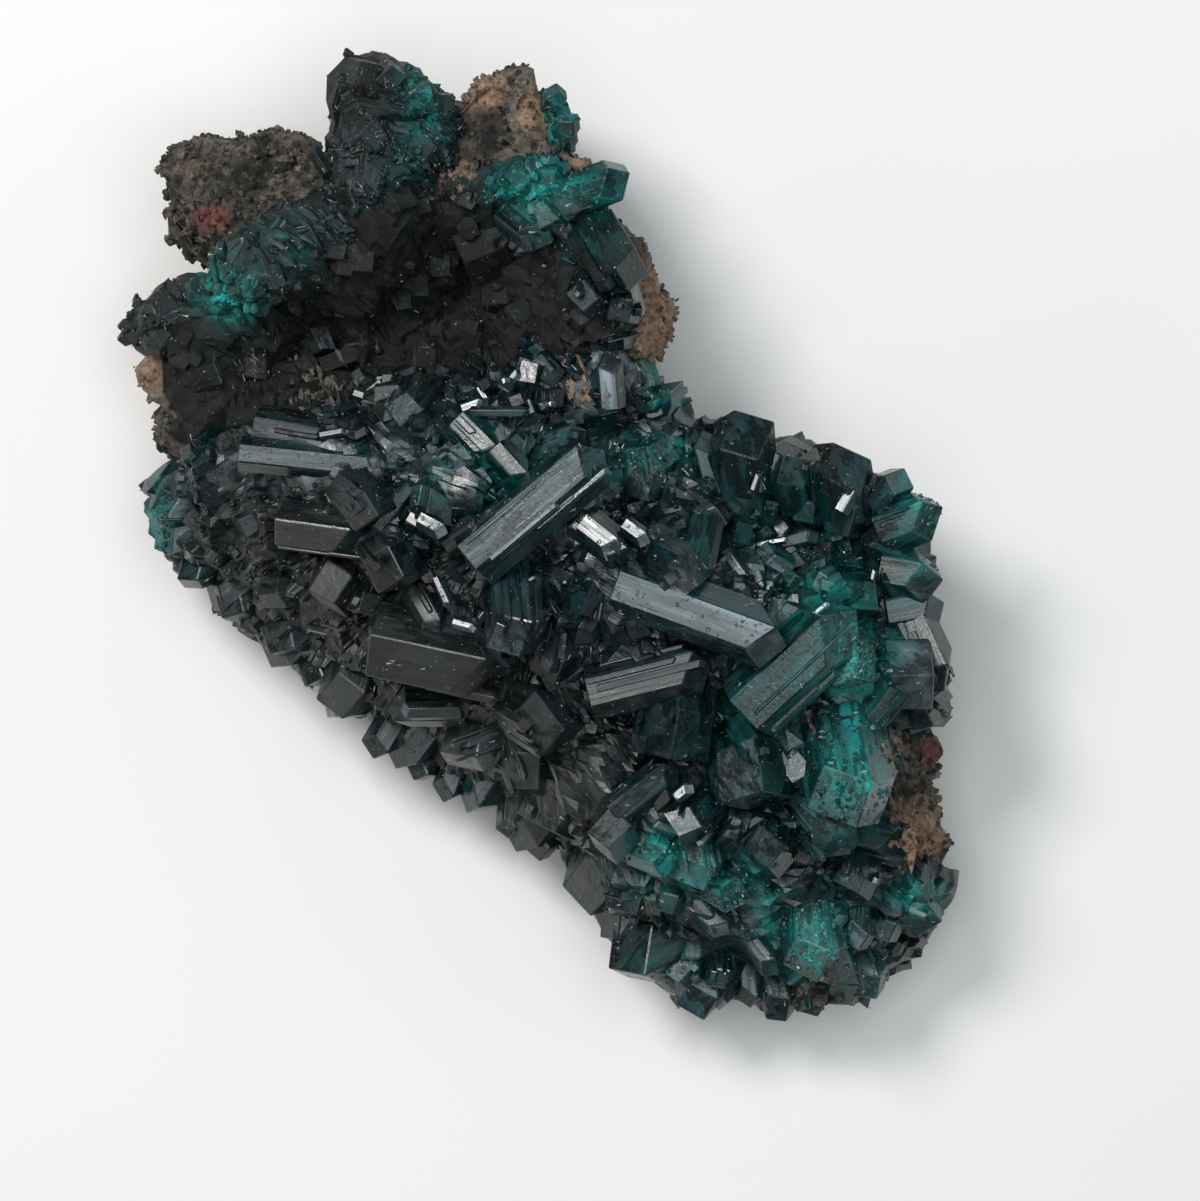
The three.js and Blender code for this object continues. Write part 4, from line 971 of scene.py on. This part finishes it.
def make_crystals(name, key, crystals, material, chamfer, uneven):
    """Crystals as one mesh, with a tone for each corner of a face.

    The frosting, with the painted highlight of the pale spots and the glints, goes only on faces that look
    up, so these tops are paler than their sides.
    """
    plan = CRUSTS[key]
    local, places = shaped(crystals, uneven)
    n = len(places)
    base = 13 * np.arange(n)
    quads = base[:, None, None] + QUADS[None]
    roots = base[:, None] + ROOT[None]
    corners = places[:, QUADS]
    normals = unit(np.cross(corners[:, :, 2] - corners[:, :, 0], corners[:, :, 3] - corners[:, :, 1]))
    # painted highlight: frosting and paleness only on faces that look up
    upward = np.clip((normals[..., 2] - 0.72) / 0.2, 0, 1).reshape(-1)
    tone = growth(places, crystals["tint"][:, None], plan["teal"], plan["brown"])
    # the glints' paleness: a painted highlight
    tone[..., 3] = np.maximum(tone[..., 3], crystals["pale"][:, None])
    tone = tone.reshape(-1, 4)
    chosen = np.concatenate([quads.ravel(), roots.ravel()])
    faces = np.concatenate([np.repeat(np.arange(9 * n), 4), np.repeat(np.arange(n) + 9 * n, 6)])
    tone = tone[chosen]
    own = RNG.uniform(0, 1, 10 * n)
    tone[:, 0] = 0.6 * tone[:, 0] + 0.4 * own[faces]
    worn = np.where(RNG.uniform(0, 1, 10 * n) < 0.07, RNG.uniform(0.06, 0.3, 10 * n), 0)
    corner = places.reshape(-1, 3)[chosen]
    # no worn paleness in the dark spots, which are partly painted shade
    worn = worn[faces] * (1 - spots(DARK_SPOTS, corner[:, 0], corner[:, 1]))
    tone[:, 3] = np.maximum(tone[:, 3] * np.concatenate([upward, np.zeros(n)])[faces], worn)
    own_place = local.reshape(-1, 3)[chosen]
    on_end = np.repeat(np.arange(9) >= 6, 4)
    own_place[:on_end.size * n][np.tile(on_end, n)] *= 0.6
    own_place = own_place + np.repeat(RNG.uniform(0, 400, (n, 3)), 13, axis=0)[chosen]
    attributes = [
        ("growth", "FLOAT_COLOR", "CORNER", tone),
        ("lengthwise", "FLOAT_VECTOR", "CORNER", own_place),
    ]
    faces = quads.reshape(-1, 4).tolist() + roots.tolist()
    piece = new_piece(name, places.reshape(-1, 3), faces, key, material, attributes)
    if chamfer:
        bevel(piece, chamfer)
    return places


def shader_group(name, inputs, outputs):
    """An empty node group with named sockets: each input is (name, kind, default)."""
    tree = bpy.data.node_groups.new(name, "ShaderNodeTree")
    for title, kind, value in inputs:
        socket = tree.interface.new_socket(title, in_out="INPUT", socket_type="NodeSocket" + kind)
        if value is not None:
            socket.default_value = value
    for title, kind in outputs:
        tree.interface.new_socket(title, in_out="OUTPUT", socket_type="NodeSocket" + kind)
    return tree, tree.nodes.new("NodeGroupInput").outputs, tree.nodes.new("NodeGroupOutput").inputs


def fill(tree, socket, value):
    """Links another node's output to an input, or sets the input to a number or a colour."""
    if isinstance(value, bpy.types.NodeSocket):
        tree.links.new(value, socket)
    else:
        socket.default_value = value


def node(tree, kind, values=(), **settings):
    """A node with its settings and its inputs."""
    made = tree.nodes.new("ShaderNode" + kind)
    for key, value in settings.items():
        setattr(made, key, value)
    for key, value in dict(values).items():
        fill(tree, made.inputs[key], value)
    return made


def maths(tree, operation, *values, clamp=False):
    """The result of a Math node."""
    return node(tree, "Math", enumerate(values), operation=operation, use_clamp=clamp).outputs[0]


def total(tree, first, second, clamp=False):
    """Two values added."""
    return maths(tree, "ADD", first, second, clamp=clamp)


def product(tree, first, second, clamp=False):
    """Two values multiplied."""
    return maths(tree, "MULTIPLY", first, second, clamp=clamp)


def scaled(tree, vector, share):
    """A vector or a colour times one number."""
    return node(tree, "VectorMath", {0: vector, "Scale": share}, operation="SCALE").outputs[0]


def stretched(tree, vector, shares):
    """A vector times one number for each of its parts."""
    return node(tree, "VectorMath", {0: vector, 1: shares}, operation="MULTIPLY").outputs[0]


def blend(tree, amount, first, second):
    """From the first colour at 0 to the second at 1."""
    return node(tree, "Mix", {0: amount, 6: first, 7: second}, data_type="RGBA").outputs[2]


def remap(tree, value, low, high, to_low=0.0, to_high=1.0):
    """A value between two bounds carried over to two others, and held there."""
    values = {"Value": value, "From Min": low, "From Max": high, "To Min": to_low, "To Max": to_high}
    return node(tree, "MapRange", values).outputs["Result"]


def clouds(tree, place, scale, detail, roughness):
    """The outputs of a noise texture."""
    values = {"Vector": place, "Scale": scale, "Detail": detail, "Roughness": roughness}
    return node(tree, "TexNoise", values).outputs


def streaks_group():
    """Fine lines along a prism: noise stretched along the third coordinate, at two widths."""
    inputs = [("Vector", "Vector", None), ("Width", "Float", 1.0)]
    tree, given, out = shader_group("lengthwise_streaks", inputs, [("Broad", "Float"), ("Fine", "Float")])
    place = stretched(tree, given["Vector"], (1.0, 1.0, 0.07))
    place = scaled(tree, place, maths(tree, "DIVIDE", 1.0, given["Width"]))
    for title, scale, roughness in (("Broad", 1.0, 0.5), ("Fine", 4.2, 0.6)):
        lines = clouds(tree, place, scale, 2.0, roughness)[0]
        tree.links.new(remap(tree, lines, 0.35, 0.65), out[title])
    return tree


def steps_group():
    """Growth steps: stretched noise cut into levels, each level with a number of its own."""
    inputs = [("Vector", "Vector", None), ("Levels", "Float", 8.0)]
    tree, given, out = shader_group("growth_steps", inputs, [("Height", "Float"), ("Number", "Float")])
    rise = clouds(tree, stretched(tree, given["Vector"], (0.8, 0.8, 0.2)), 1.0, 5.0, 0.55)[0]
    level = maths(tree, "FLOOR", product(tree, rise, given["Levels"]))
    tree.links.new(maths(tree, "DIVIDE", level, given["Levels"]), out["Height"])
    number = node(tree, "TexWhiteNoise", {"W": level}, noise_dimensions="1D").outputs["Value"]
    tree.links.new(number, out["Number"])
    return tree


def specks_group():
    """Scattered flecks: bent cells with a low random number, each seen near its middle, at its own size."""
    inputs = [("Vector", "Vector", None)]
    inputs += [("Cells", "Float", 1500.0), ("Share", "Float", 0.1), ("Size", "Float", 0.3)]
    tree, given, out = shader_group("specks", inputs, [("Mask", "Float")])
    bend = scaled(tree, clouds(tree, given["Vector"], 5000.0, 2.0, 0.5)["Color"], 0.0005)
    bent = node(tree, "VectorMath", {0: bend, 1: given["Vector"]}, operation="ADD").outputs[0]
    cell = node(tree, "TexVoronoi", {"Vector": bent, "Scale": given["Cells"]}).outputs
    numbers = node(tree, "SeparateColor", {0: cell["Color"]}).outputs
    chosen = maths(tree, "LESS_THAN", numbers[0], given["Share"])
    reach = product(tree, given["Size"], remap(tree, numbers[1], 0.0, 1.0, 0.3, 1.5))
    near = remap(tree, maths(tree, "DIVIDE", cell["Distance"], reach), 1.0, 0.5)
    tree.links.new(product(tree, chosen, near), out["Mask"])
    return tree


def tone_group():
    """The colour of dioptase: deep to mid by tint and cloud, then by masks teal, painted brownish shade and
    reflection, and frosting that carries painted highlights.
    """
    inputs = [("Growth", "Color", None)]
    inputs += [(title, "Float", 0.0) for title in ("Frost_and_highlight", "Cloud", "Streak", "Dashes", "Pits", "Step")]
    inputs += [(title, "Color", None) for title in ("Deep", "Mid", "Bright", "Brown_shade", "Frosted_and_highlight")]
    tree, given, out = shader_group("dioptase_tone", inputs, [("Color", "Color"), ("Dull", "Float")])
    tint, teal, brown = node(tree, "SeparateColor", {0: given["Growth"]}).outputs
    depth = product(tree, product(tree, tint, tint), total(tree, given["Cloud"], 0.3))
    depth = total(tree, product(tree, depth, 0.8), 0.12, clamp=True)
    body = blend(tree, depth, given["Deep"], given["Mid"])
    patch = product(tree, teal, remap(tree, given["Cloud"], 0.0, 1.0, 0.25, 1.1), clamp=True)
    body = blend(tree, patch, body, given["Bright"])
    # painted brownish shade and reflection where the brown spots lie, not a dust
    dust = product(tree, brown, remap(tree, given["Cloud"], 0.2, 0.8, 0.55, 1.0))
    body = blend(tree, dust, body, given["Brown_shade"])
    # frosting, which also carries the painted highlight of the pale spots and the glints
    frost_and_highlight = product(tree, given["Frost_and_highlight"], remap(tree, given["Streak"], 0.0, 1.0, 0.35, 1.0))
    dashes = product(tree, given["Dashes"], remap(tree, tint, 0.3, 1.0, 0.0, 0.12))
    frost_and_highlight = maths(tree, "MAXIMUM", frost_and_highlight, dashes)
    frost_and_highlight = product(tree, frost_and_highlight, maths(tree, "SUBTRACT", 1.0, given["Pits"]))
    body = blend(tree, frost_and_highlight, body, given["Frosted_and_highlight"])
    lines = remap(tree, given["Streak"], 0.0, 1.0, 0.6, 1.4)
    shade = product(tree, lines, remap(tree, given["Step"], 0.0, 1.0, 0.5, 1.5))
    tree.links.new(scaled(tree, body, shade), out["Color"])
    dull = maths(tree, "MAXIMUM", product(tree, frost_and_highlight, 0.2), patch)
    tree.links.new(maths(tree, "MAXIMUM", dull, product(tree, dust, 0.8)), out["Dull"])
    return tree


def rock_group():
    """The colour of the rock: grains by two noises and each grain's number, tan and rust by the masks, and
    painted shade in the holes.
    """
    inputs = [("Vector", "Vector", None), ("Stain", "Color", None), ("Holes", "Float", 0.0)]
    inputs += [(title, "Color", None) for title in ("Dark", "Light", "Tan", "Rust")]
    tree, given, out = shader_group("rock_tone", inputs, [("Color", "Color"), ("Height", "Float")])
    broad = clouds(tree, given["Vector"], 330.0, 6.0, 0.7)[0]
    fine = clouds(tree, given["Vector"], 1700.0, 5.0, 0.75)[0]
    tan, rust, number = node(tree, "SeparateColor", {0: given["Stain"]}).outputs
    mix = total(tree, product(tree, broad, 0.8), product(tree, number, 0.25))
    body = blend(tree, remap(tree, mix, 0.36, 0.68), given["Dark"], given["Light"])
    tan = remap(tree, total(tree, tan, product(tree, broad, 0.5)), 0.5, 0.95)
    body = blend(tree, tan, body, given["Tan"])
    rust = remap(tree, total(tree, rust, product(tree, fine, 0.5)), 0.6, 1.0)
    body = blend(tree, rust, body, given["Rust"])
    # painted shade in the holes: their colour falls to a quarter
    shade = remap(tree, given["Holes"], 0.0, 1.0, 1.0, 0.25)
    shade = product(tree, remap(tree, fine, 0.32, 0.68, 0.3, 1.7), shade)
    tree.links.new(scaled(tree, body, shade), out["Color"])
    tree.links.new(maths(tree, "SUBTRACT", fine, product(tree, given["Holes"], 0.8)), out["Height"])
    return tree


GROUPS = {
    "lengthwise_streaks": streaks_group,
    "growth_steps": steps_group,
    "specks": specks_group,
    "dioptase_tone": tone_group,
    "rock_tone": rock_group,
}
MATERIALS = {}


def grouped(tree, name, values):
    """The outputs of a named node group, which is made the first time it is asked for."""
    made = bpy.data.node_groups.get(name) or GROUPS[name]()
    return node(tree, "Group", values, node_tree=made).outputs


def empty_material(name):
    """A new material, kept by its name, with its node tree and its shader's inputs."""
    material = bpy.data.materials.new(name)
    material.use_nodes = True
    MATERIALS[name] = material
    tree = material.node_tree
    return material, tree, tree.nodes["Principled BSDF"].inputs


def attribute(tree, name):
    """The outputs of one of the mesh's attributes."""
    return node(tree, "Attribute", attribute_name=name).outputs


def own_colours(settings, keys):
    """Colours of the settings by the names of a group's inputs."""
    return {key.capitalize(): (*getattr(settings, key), 1) for key in keys}


def dioptase_material(name, settings, rough, clear, gloss):
    """Dark glassy crystal with lengthwise lines, cloudy depth and dust specks, frosting that carries painted
    highlights, and painted brownish shade and reflection.
    """
    if name in MATERIALS:
        return MATERIALS[name]
    material, tree, shader = empty_material(name)
    place = node(tree, "TexCoord").outputs["Object"]
    tone = attribute(tree, "growth")
    own = attribute(tree, "lengthwise")["Vector"]
    number, teal, _ = node(tree, "SeparateColor", {0: tone["Color"]}).outputs
    lines = grouped(tree, "lengthwise_streaks", {"Vector": own, "Width": 0.9})
    steps = grouped(tree, "growth_steps", {"Vector": own})
    specks = grouped(tree, "specks", {"Vector": place, "Cells": 5200.0, "Share": 0.05, "Size": 0.26})[0]
    pits = grouped(tree, "specks", {"Vector": place, "Cells": 2600.0, "Share": 0.28, "Size": 0.36})[0]
    cloud = clouds(tree, own, 0.45, 4.0, 0.6)[0]
    body = grouped(tree, "dioptase_tone", {
        "Growth": tone["Color"], "Frost_and_highlight": tone["Alpha"], "Pits": pits, "Cloud": remap(tree, cloud, 0.3, 0.7),
        "Streak": lines["Broad"], "Dashes": remap(tree, lines["Fine"], 0.75, 1.0), "Step": steps["Number"],
        **own_colours(settings, ("deep", "mid", "bright", "brown_shade", "frosted_and_highlight")),
    })
    dusty = blend(tree, product(tree, specks, 0.5), body["Color"], (*settings.speck, 1))
    tree.links.new(dusty, shader["Base Color"])
    worn = total(tree, product(tree, body["Dull"], 0.3), product(tree, lines["Fine"], 0.1))
    worn = total(tree, worn, product(tree, maths(tree, "SUBTRACT", 1.0, number), 0.17))
    worn = total(tree, worn, product(tree, steps["Number"], 0.14))
    tree.links.new(total(tree, worn, rough, clamp=True), shader["Roughness"])
    grain = clouds(tree, place, 2600.0, 3.0, 0.6)[0]
    grain = product(tree, grain, total(tree, 0.35, product(tree, teal, 1.6)))
    height = total(tree, product(tree, lines["Fine"], 0.15), product(tree, lines["Broad"], 0.5))
    height = total(tree, height, product(tree, steps["Height"], 3.0))
    height = total(tree, height, grain)
    sunk = product(tree, pits, product(tree, tone["Alpha"], 2.0))
    height = maths(tree, "SUBTRACT", height, sunk)
    bump = node(tree, "Bump", {"Strength": 0.7, "Distance": 0.00006, "Height": height})
    tree.links.new(bump.outputs[0], shader["Normal"])
    shader["IOR"].default_value = 1.66
    shader["Specular IOR Level"].default_value = gloss
    shader["Transmission Weight"].default_value = clear
    return material


def rock_material(settings):
    """Rough granular rock with tan and rusty patches, and painted shade in its holes."""
    material, tree, shader = empty_material("host_rock")
    place = node(tree, "TexCoord").outputs["Object"]
    holes = grouped(tree, "specks", {"Vector": place, "Cells": 1500.0, "Share": 0.5, "Size": 0.42})[0]
    body = grouped(tree, "rock_tone", {
        "Vector": place, "Stain": attribute(tree, "stain")["Color"], "Holes": holes,
        **own_colours(settings, ("dark", "light", "tan", "rust")),
    })
    tree.links.new(body["Color"], shader["Base Color"])
    bump = node(tree, "Bump", {"Strength": 0.9, "Distance": 0.0004, "Height": body["Height"]})
    tree.links.new(bump.outputs[0], shader["Normal"])
    shader["Roughness"].default_value = 0.85
    return material


def dust_material(settings):
    """Pale chips, each with its own brightness."""
    if "dust" in MATERIALS:
        return MATERIALS["dust"]
    material, tree, shader = empty_material("dust")
    tone = blend(tree, attribute(tree, "shade")["Fac"], (*settings.chip, 1), (*settings.speck, 1))
    tree.links.new(tone, shader["Base Color"])
    shader["Roughness"].default_value = 0.5
    return material


def floor_material(settings):
    """Plain pale floor."""
    material, _, shader = empty_material("pale_floor")
    shader["Base Color"].default_value = (*settings.floor_colour, 1)
    shader["Roughness"].default_value = 0.9
    return material


def colour(name, description, value):
    """A colour of the settings."""
    return FloatVectorProperty(
        name=name, description=description, default=value, subtype="COLOR", size=3, min=0, max=1)


def length(name, description, value):
    """A length of the settings, in metres."""
    return FloatProperty(
        name=name, description=description, default=value, min=0, soft_max=0.02, unit="LENGTH", precision=5)


class CrystalSettings(bpy.types.PropertyGroup):
    deep: colour("Deep colour", "The darkest green of thick crystals", (0.0005, 0.0040, 0.0052))
    mid: colour("Middle colour", "The green of thinner crystals", (0.0018, 0.036, 0.042))
    bright: colour("Bright colour", "The teal of clear or fine-grained crystals", (0.001, 0.32, 0.285))
    # painted brownish shade and reflection in the hollow and on the left flank
    brown_shade: colour(
        "Shaded colour", "The brown shading in the hollow and on the left flank", (0.0115, 0.0088, 0.0076))
    # pale grey of frosting, also painted as the highlight of the pale spots and the glints
    frosted_and_highlight: colour("Frosted colour", "The pale grey of frosted faces", (0.22, 0.25, 0.285))
    speck: colour("Speck colour", "The palest dust on the crystals", (0.42, 0.43, 0.41))
    chip: colour("Chip colour", "The darker chips on the crystals", (0.10, 0.125, 0.125))
    chamfer: length("Edge chamfer", "Width of the chamfer on the edges of a large crystal", 0.00009)
    crust_relief: length("Crust relief", "Height of the facets on the fused roots", 0.0010)


class RockSettings(bpy.types.PropertyGroup):
    dark: colour("Dark colour", "The darker grains of the rock", (0.009, 0.0078, 0.0062))
    light: colour("Light colour", "The lighter grains of the rock", (0.16, 0.14, 0.115))
    tan: colour("Tan colour", "Weathered patches", (0.29, 0.19, 0.127))
    rust: colour("Rust colour", "Reddish patches", (0.17, 0.06, 0.05))
    grain: length("Grain relief", "Height of the small grains", 0.0005)
    ledge: length("Block relief", "Height of the broken blocks", 0.0014)


class StageSettings(bpy.types.PropertyGroup):
    floor_colour: colour("Floor colour", "The ground round the specimen", (0.90, 0.885, 0.875))
    camera_height: length("Camera height", "Height of the camera above the floor", CAMERA_PLACE[2])
    field: length("Field", "Width of the picture at the height of the crystals", 0.096)


def fillers_of(plan, roots):
    """The small crystals that fill a crust: groups or single ones, some kept away from the brown spots."""
    points, normals, weights = roots
    # the brown spots, which carry painted brownish shade, thin out the fillers
    dusty = spots(BROWN_SPOTS, points[:, 0], points[:, 1])
    fine = []
    for members, count, sizes, spread, sink, away in plan["fillers"]:
        sites = (points, normals, weights * (1 - away * dusty))
        if members:
            fine.append(clustered(sites, count, members, sizes, spread, sink))
        else:
            fine.append(scattered(sites, count, sizes, spread, sink))
    return joined(fine)


def crust(key):
    """One crust: its fused roots, its named crystals with their parallel growth, small crystals and dust."""
    settings = bpy.context.scene.specimen_crystals
    plan = CRUSTS[key]
    material = dioptase_material(plan["slot"], settings, plan["rough"], plan["clear"], plan["gloss"])
    chamfer = settings.chamfer / MM
    roots = make_skin(key, material, plan["relief"] * settings.crust_relief / MM)
    large = turned(plan["crystals"] + plan["small_rows"])
    large["width"] = large["width"] * plan["slimmer"]
    large["root"] = large["root"] - [0, 0, plan["deeper"]]
    standing = make_crystals(key + "_crystals", key, large, material, chamfer, 0.12)
    grown = within_bounds(parallel_growth(large, plan["steps"]), 1.06)
    if plan["glints"]:
        grown = joined([grown, mirroring(plan["glints"])])
    if len(grown["length"]):
        make_crystals(key + "_parallel_growth", key, grown, material, 0.4 * chamfer, 0.1)
    fine = within_bounds(clear_of(fillers_of(plan, roots), large), plan["spill"])
    small = make_crystals(key + "_small_crystals", key, fine, material, 0.5 * chamfer, 0.3)
    count, sizes = plan["sugar"]
    sugar = scattered(sites_on(standing, count, bright_places), count, sizes, 1.2, 0.6)
    make_crystals(key + "_sugar", key, sugar, material, 0, 0.3)
    upper_sites = [(sites_on(places, UPPER_SITES), 0.35) for places in (standing, small)]
    anywhere = merged((roots, 0.3), *upper_sites)
    make_dust(key, anywhere, *plan["dust"], dust_material(settings))
    return anywhere


def make_outcrops(anywhere, *names):
    """Bits of rock that show between the crystals of a crust."""
    for name in names:
        x, y, reach, count, sizes, tan, rust, fibrous = OUTCROPS[name]
        make_grains(name, near_spot(anywhere, x, y, reach), count, sizes, tan, rust, fibrous)


class SPECIMEN_OT_host_rock(bpy.types.Operator):
    """Build the host rock"""

    bl_idname = "specimen.host_rock"
    bl_label = "Host rock"

    def execute(self, context):
        settings = context.scene.specimen_rock
        material = rock_material(settings)
        bare = make_rock("host_rock_surface", material, settings.grain / MM, settings.ledge / MM)
        make_grains("host_rock_grains", bare, *ROCK_GRAINS)
        return {"FINISHED"}


class SPECIMEN_OT_main_druse(bpy.types.Operator):
    """Grow the main crust of large prisms"""

    bl_idname = "specimen.main_druse"
    bl_label = "Main druse"

    def execute(self, context):
        anywhere = crust("main_druse")
        make_outcrops(anywhere, "outcrop_3", "outcrop_5", "outcrop_7", "outcrop_8", "outcrop_11")
        return {"FINISHED"}


class SPECIMEN_OT_hollow_crust(bpy.types.Operator):
    """Grow the crystals of the upper hollow, darkened by painted brownish shade"""

    bl_idname = "specimen.hollow_crust"
    bl_label = "Hollow crust"

    def execute(self, context):
        anywhere = crust("hollow_crust")
        make_outcrops(anywhere, "outcrop_1", "outcrop_2", "outcrop_4", "outcrop_9")
        return {"FINISHED"}


class SPECIMEN_OT_rim_druse(bpy.types.Operator):
    """Grow the fine bright crystals of the rim and the horn"""

    bl_idname = "specimen.rim_druse"
    bl_label = "Rim druse"

    def execute(self, context):
        make_outcrops(crust("rim_druse"), "outcrop_10")
        return {"FINISHED"}


class SPECIMEN_OT_upper_druses(bpy.types.Operator):
    """Grow the crusts of the crest and the shoulder"""

    bl_idname = "specimen.upper_druses"
    bl_label = "Crest and shoulder"

    def execute(self, context):
        crust("crest_druse")
        crust("shoulder_druse")
        return {"FINISHED"}


class SPECIMEN_OT_stage(bpy.types.Operator):
    """Set the pale floor, the soft lights and the camera"""

    bl_idname = "specimen.stage"
    bl_label = "Stage"

    def execute(self, context):
        settings = context.scene.specimen_stage
        corners = [(x * FLOOR_HALF, y * FLOOR_HALF, 0) for x, y in ((-1, -1), (1, -1), (1, 1), (-1, 1))]
        mesh = bpy.data.meshes.new("floor")
        mesh.from_pydata(corners, [], [(0, 1, 2, 3)])
        mesh.materials.append(floor_material(settings))
        floor = bpy.data.objects.new("floor", mesh)
        context.scene.collection.objects.link(floor)
        aim = Vector((0.0, 0.0, AIM_HEIGHT))
        moved = Vector(TO_MIDDLE * MM)
        for name, place, size, power, tone in LIGHTS:
            data = bpy.data.lights.new(name, "AREA")
            data.shape = "SQUARE"
            data.size = size
            data.energy = power
            data.color = tone
            light = bpy.data.objects.new(name, data)
            light.location = moved + Vector(place)
            light.rotation_euler = (aim - Vector(place)).to_track_quat("-Z", "Y").to_euler()
            light.visible_camera = False
            context.scene.collection.objects.link(light)
        world = bpy.data.worlds.new("studio")
        world.use_nodes = True
        world.node_tree.nodes["Background"].inputs["Color"].default_value = ROOM_LIGHT
        context.scene.world = world
        data = bpy.data.cameras.new("camera")
        data.sensor_fit = "HORIZONTAL"
        data.sensor_width = SENSOR_WIDTH
        data.lens = SENSOR_WIDTH * (settings.camera_height - AIM_HEIGHT) / settings.field
        camera = bpy.data.objects.new("camera", data)
        camera.location = moved + Vector((*CAMERA_PLACE[:2], settings.camera_height))
        context.scene.collection.objects.link(camera)
        context.scene.camera = camera
        context.scene.view_settings.view_transform = "Standard"
        return {"FINISHED"}


class SPECIMEN_PT_panel(bpy.types.Panel):
    """The specimen's sizes, colours and building steps"""

    bl_label = "Dioptase specimen"
    bl_idname = "SPECIMEN_PT_panel"
    bl_space_type = "VIEW_3D"
    bl_region_type = "UI"
    bl_category = "Specimen"

    def draw(self, context):
        for title in SETTINGS:
            owner = getattr(context.scene, title)
            for name in owner.__annotations__:
                self.layout.prop(owner, name)
        for step in STEPS:
            self.layout.operator(step.bl_idname)


SETTINGS = {
    "specimen_crystals": CrystalSettings,
    "specimen_rock": RockSettings,
    "specimen_stage": StageSettings,
}
STEPS = (
    SPECIMEN_OT_host_rock,
    SPECIMEN_OT_main_druse,
    SPECIMEN_OT_hollow_crust,
    SPECIMEN_OT_rim_druse,
    SPECIMEN_OT_upper_druses,
    SPECIMEN_OT_stage,
)


def register():
    for cls in (*SETTINGS.values(), *STEPS, SPECIMEN_PT_panel):
        bpy.utils.register_class(cls)
    for name, cls in SETTINGS.items():
        setattr(bpy.types.Scene, name, PointerProperty(type=cls))


def unregister():
    for name in SETTINGS:
        delattr(bpy.types.Scene, name)
    for cls in (SPECIMEN_PT_panel, *reversed(STEPS), *SETTINGS.values()):
        bpy.utils.unregister_class(cls)


def main():
    """Builds every piece and the stage."""
    register()
    bpy.ops.specimen.host_rock()
    bpy.ops.specimen.main_druse()
    bpy.ops.specimen.hollow_crust()
    bpy.ops.specimen.rim_druse()
    bpy.ops.specimen.upper_druses()
    bpy.ops.specimen.stage()
    bpy.context.view_layer.update()


if __name__ == "__main__":
    main()
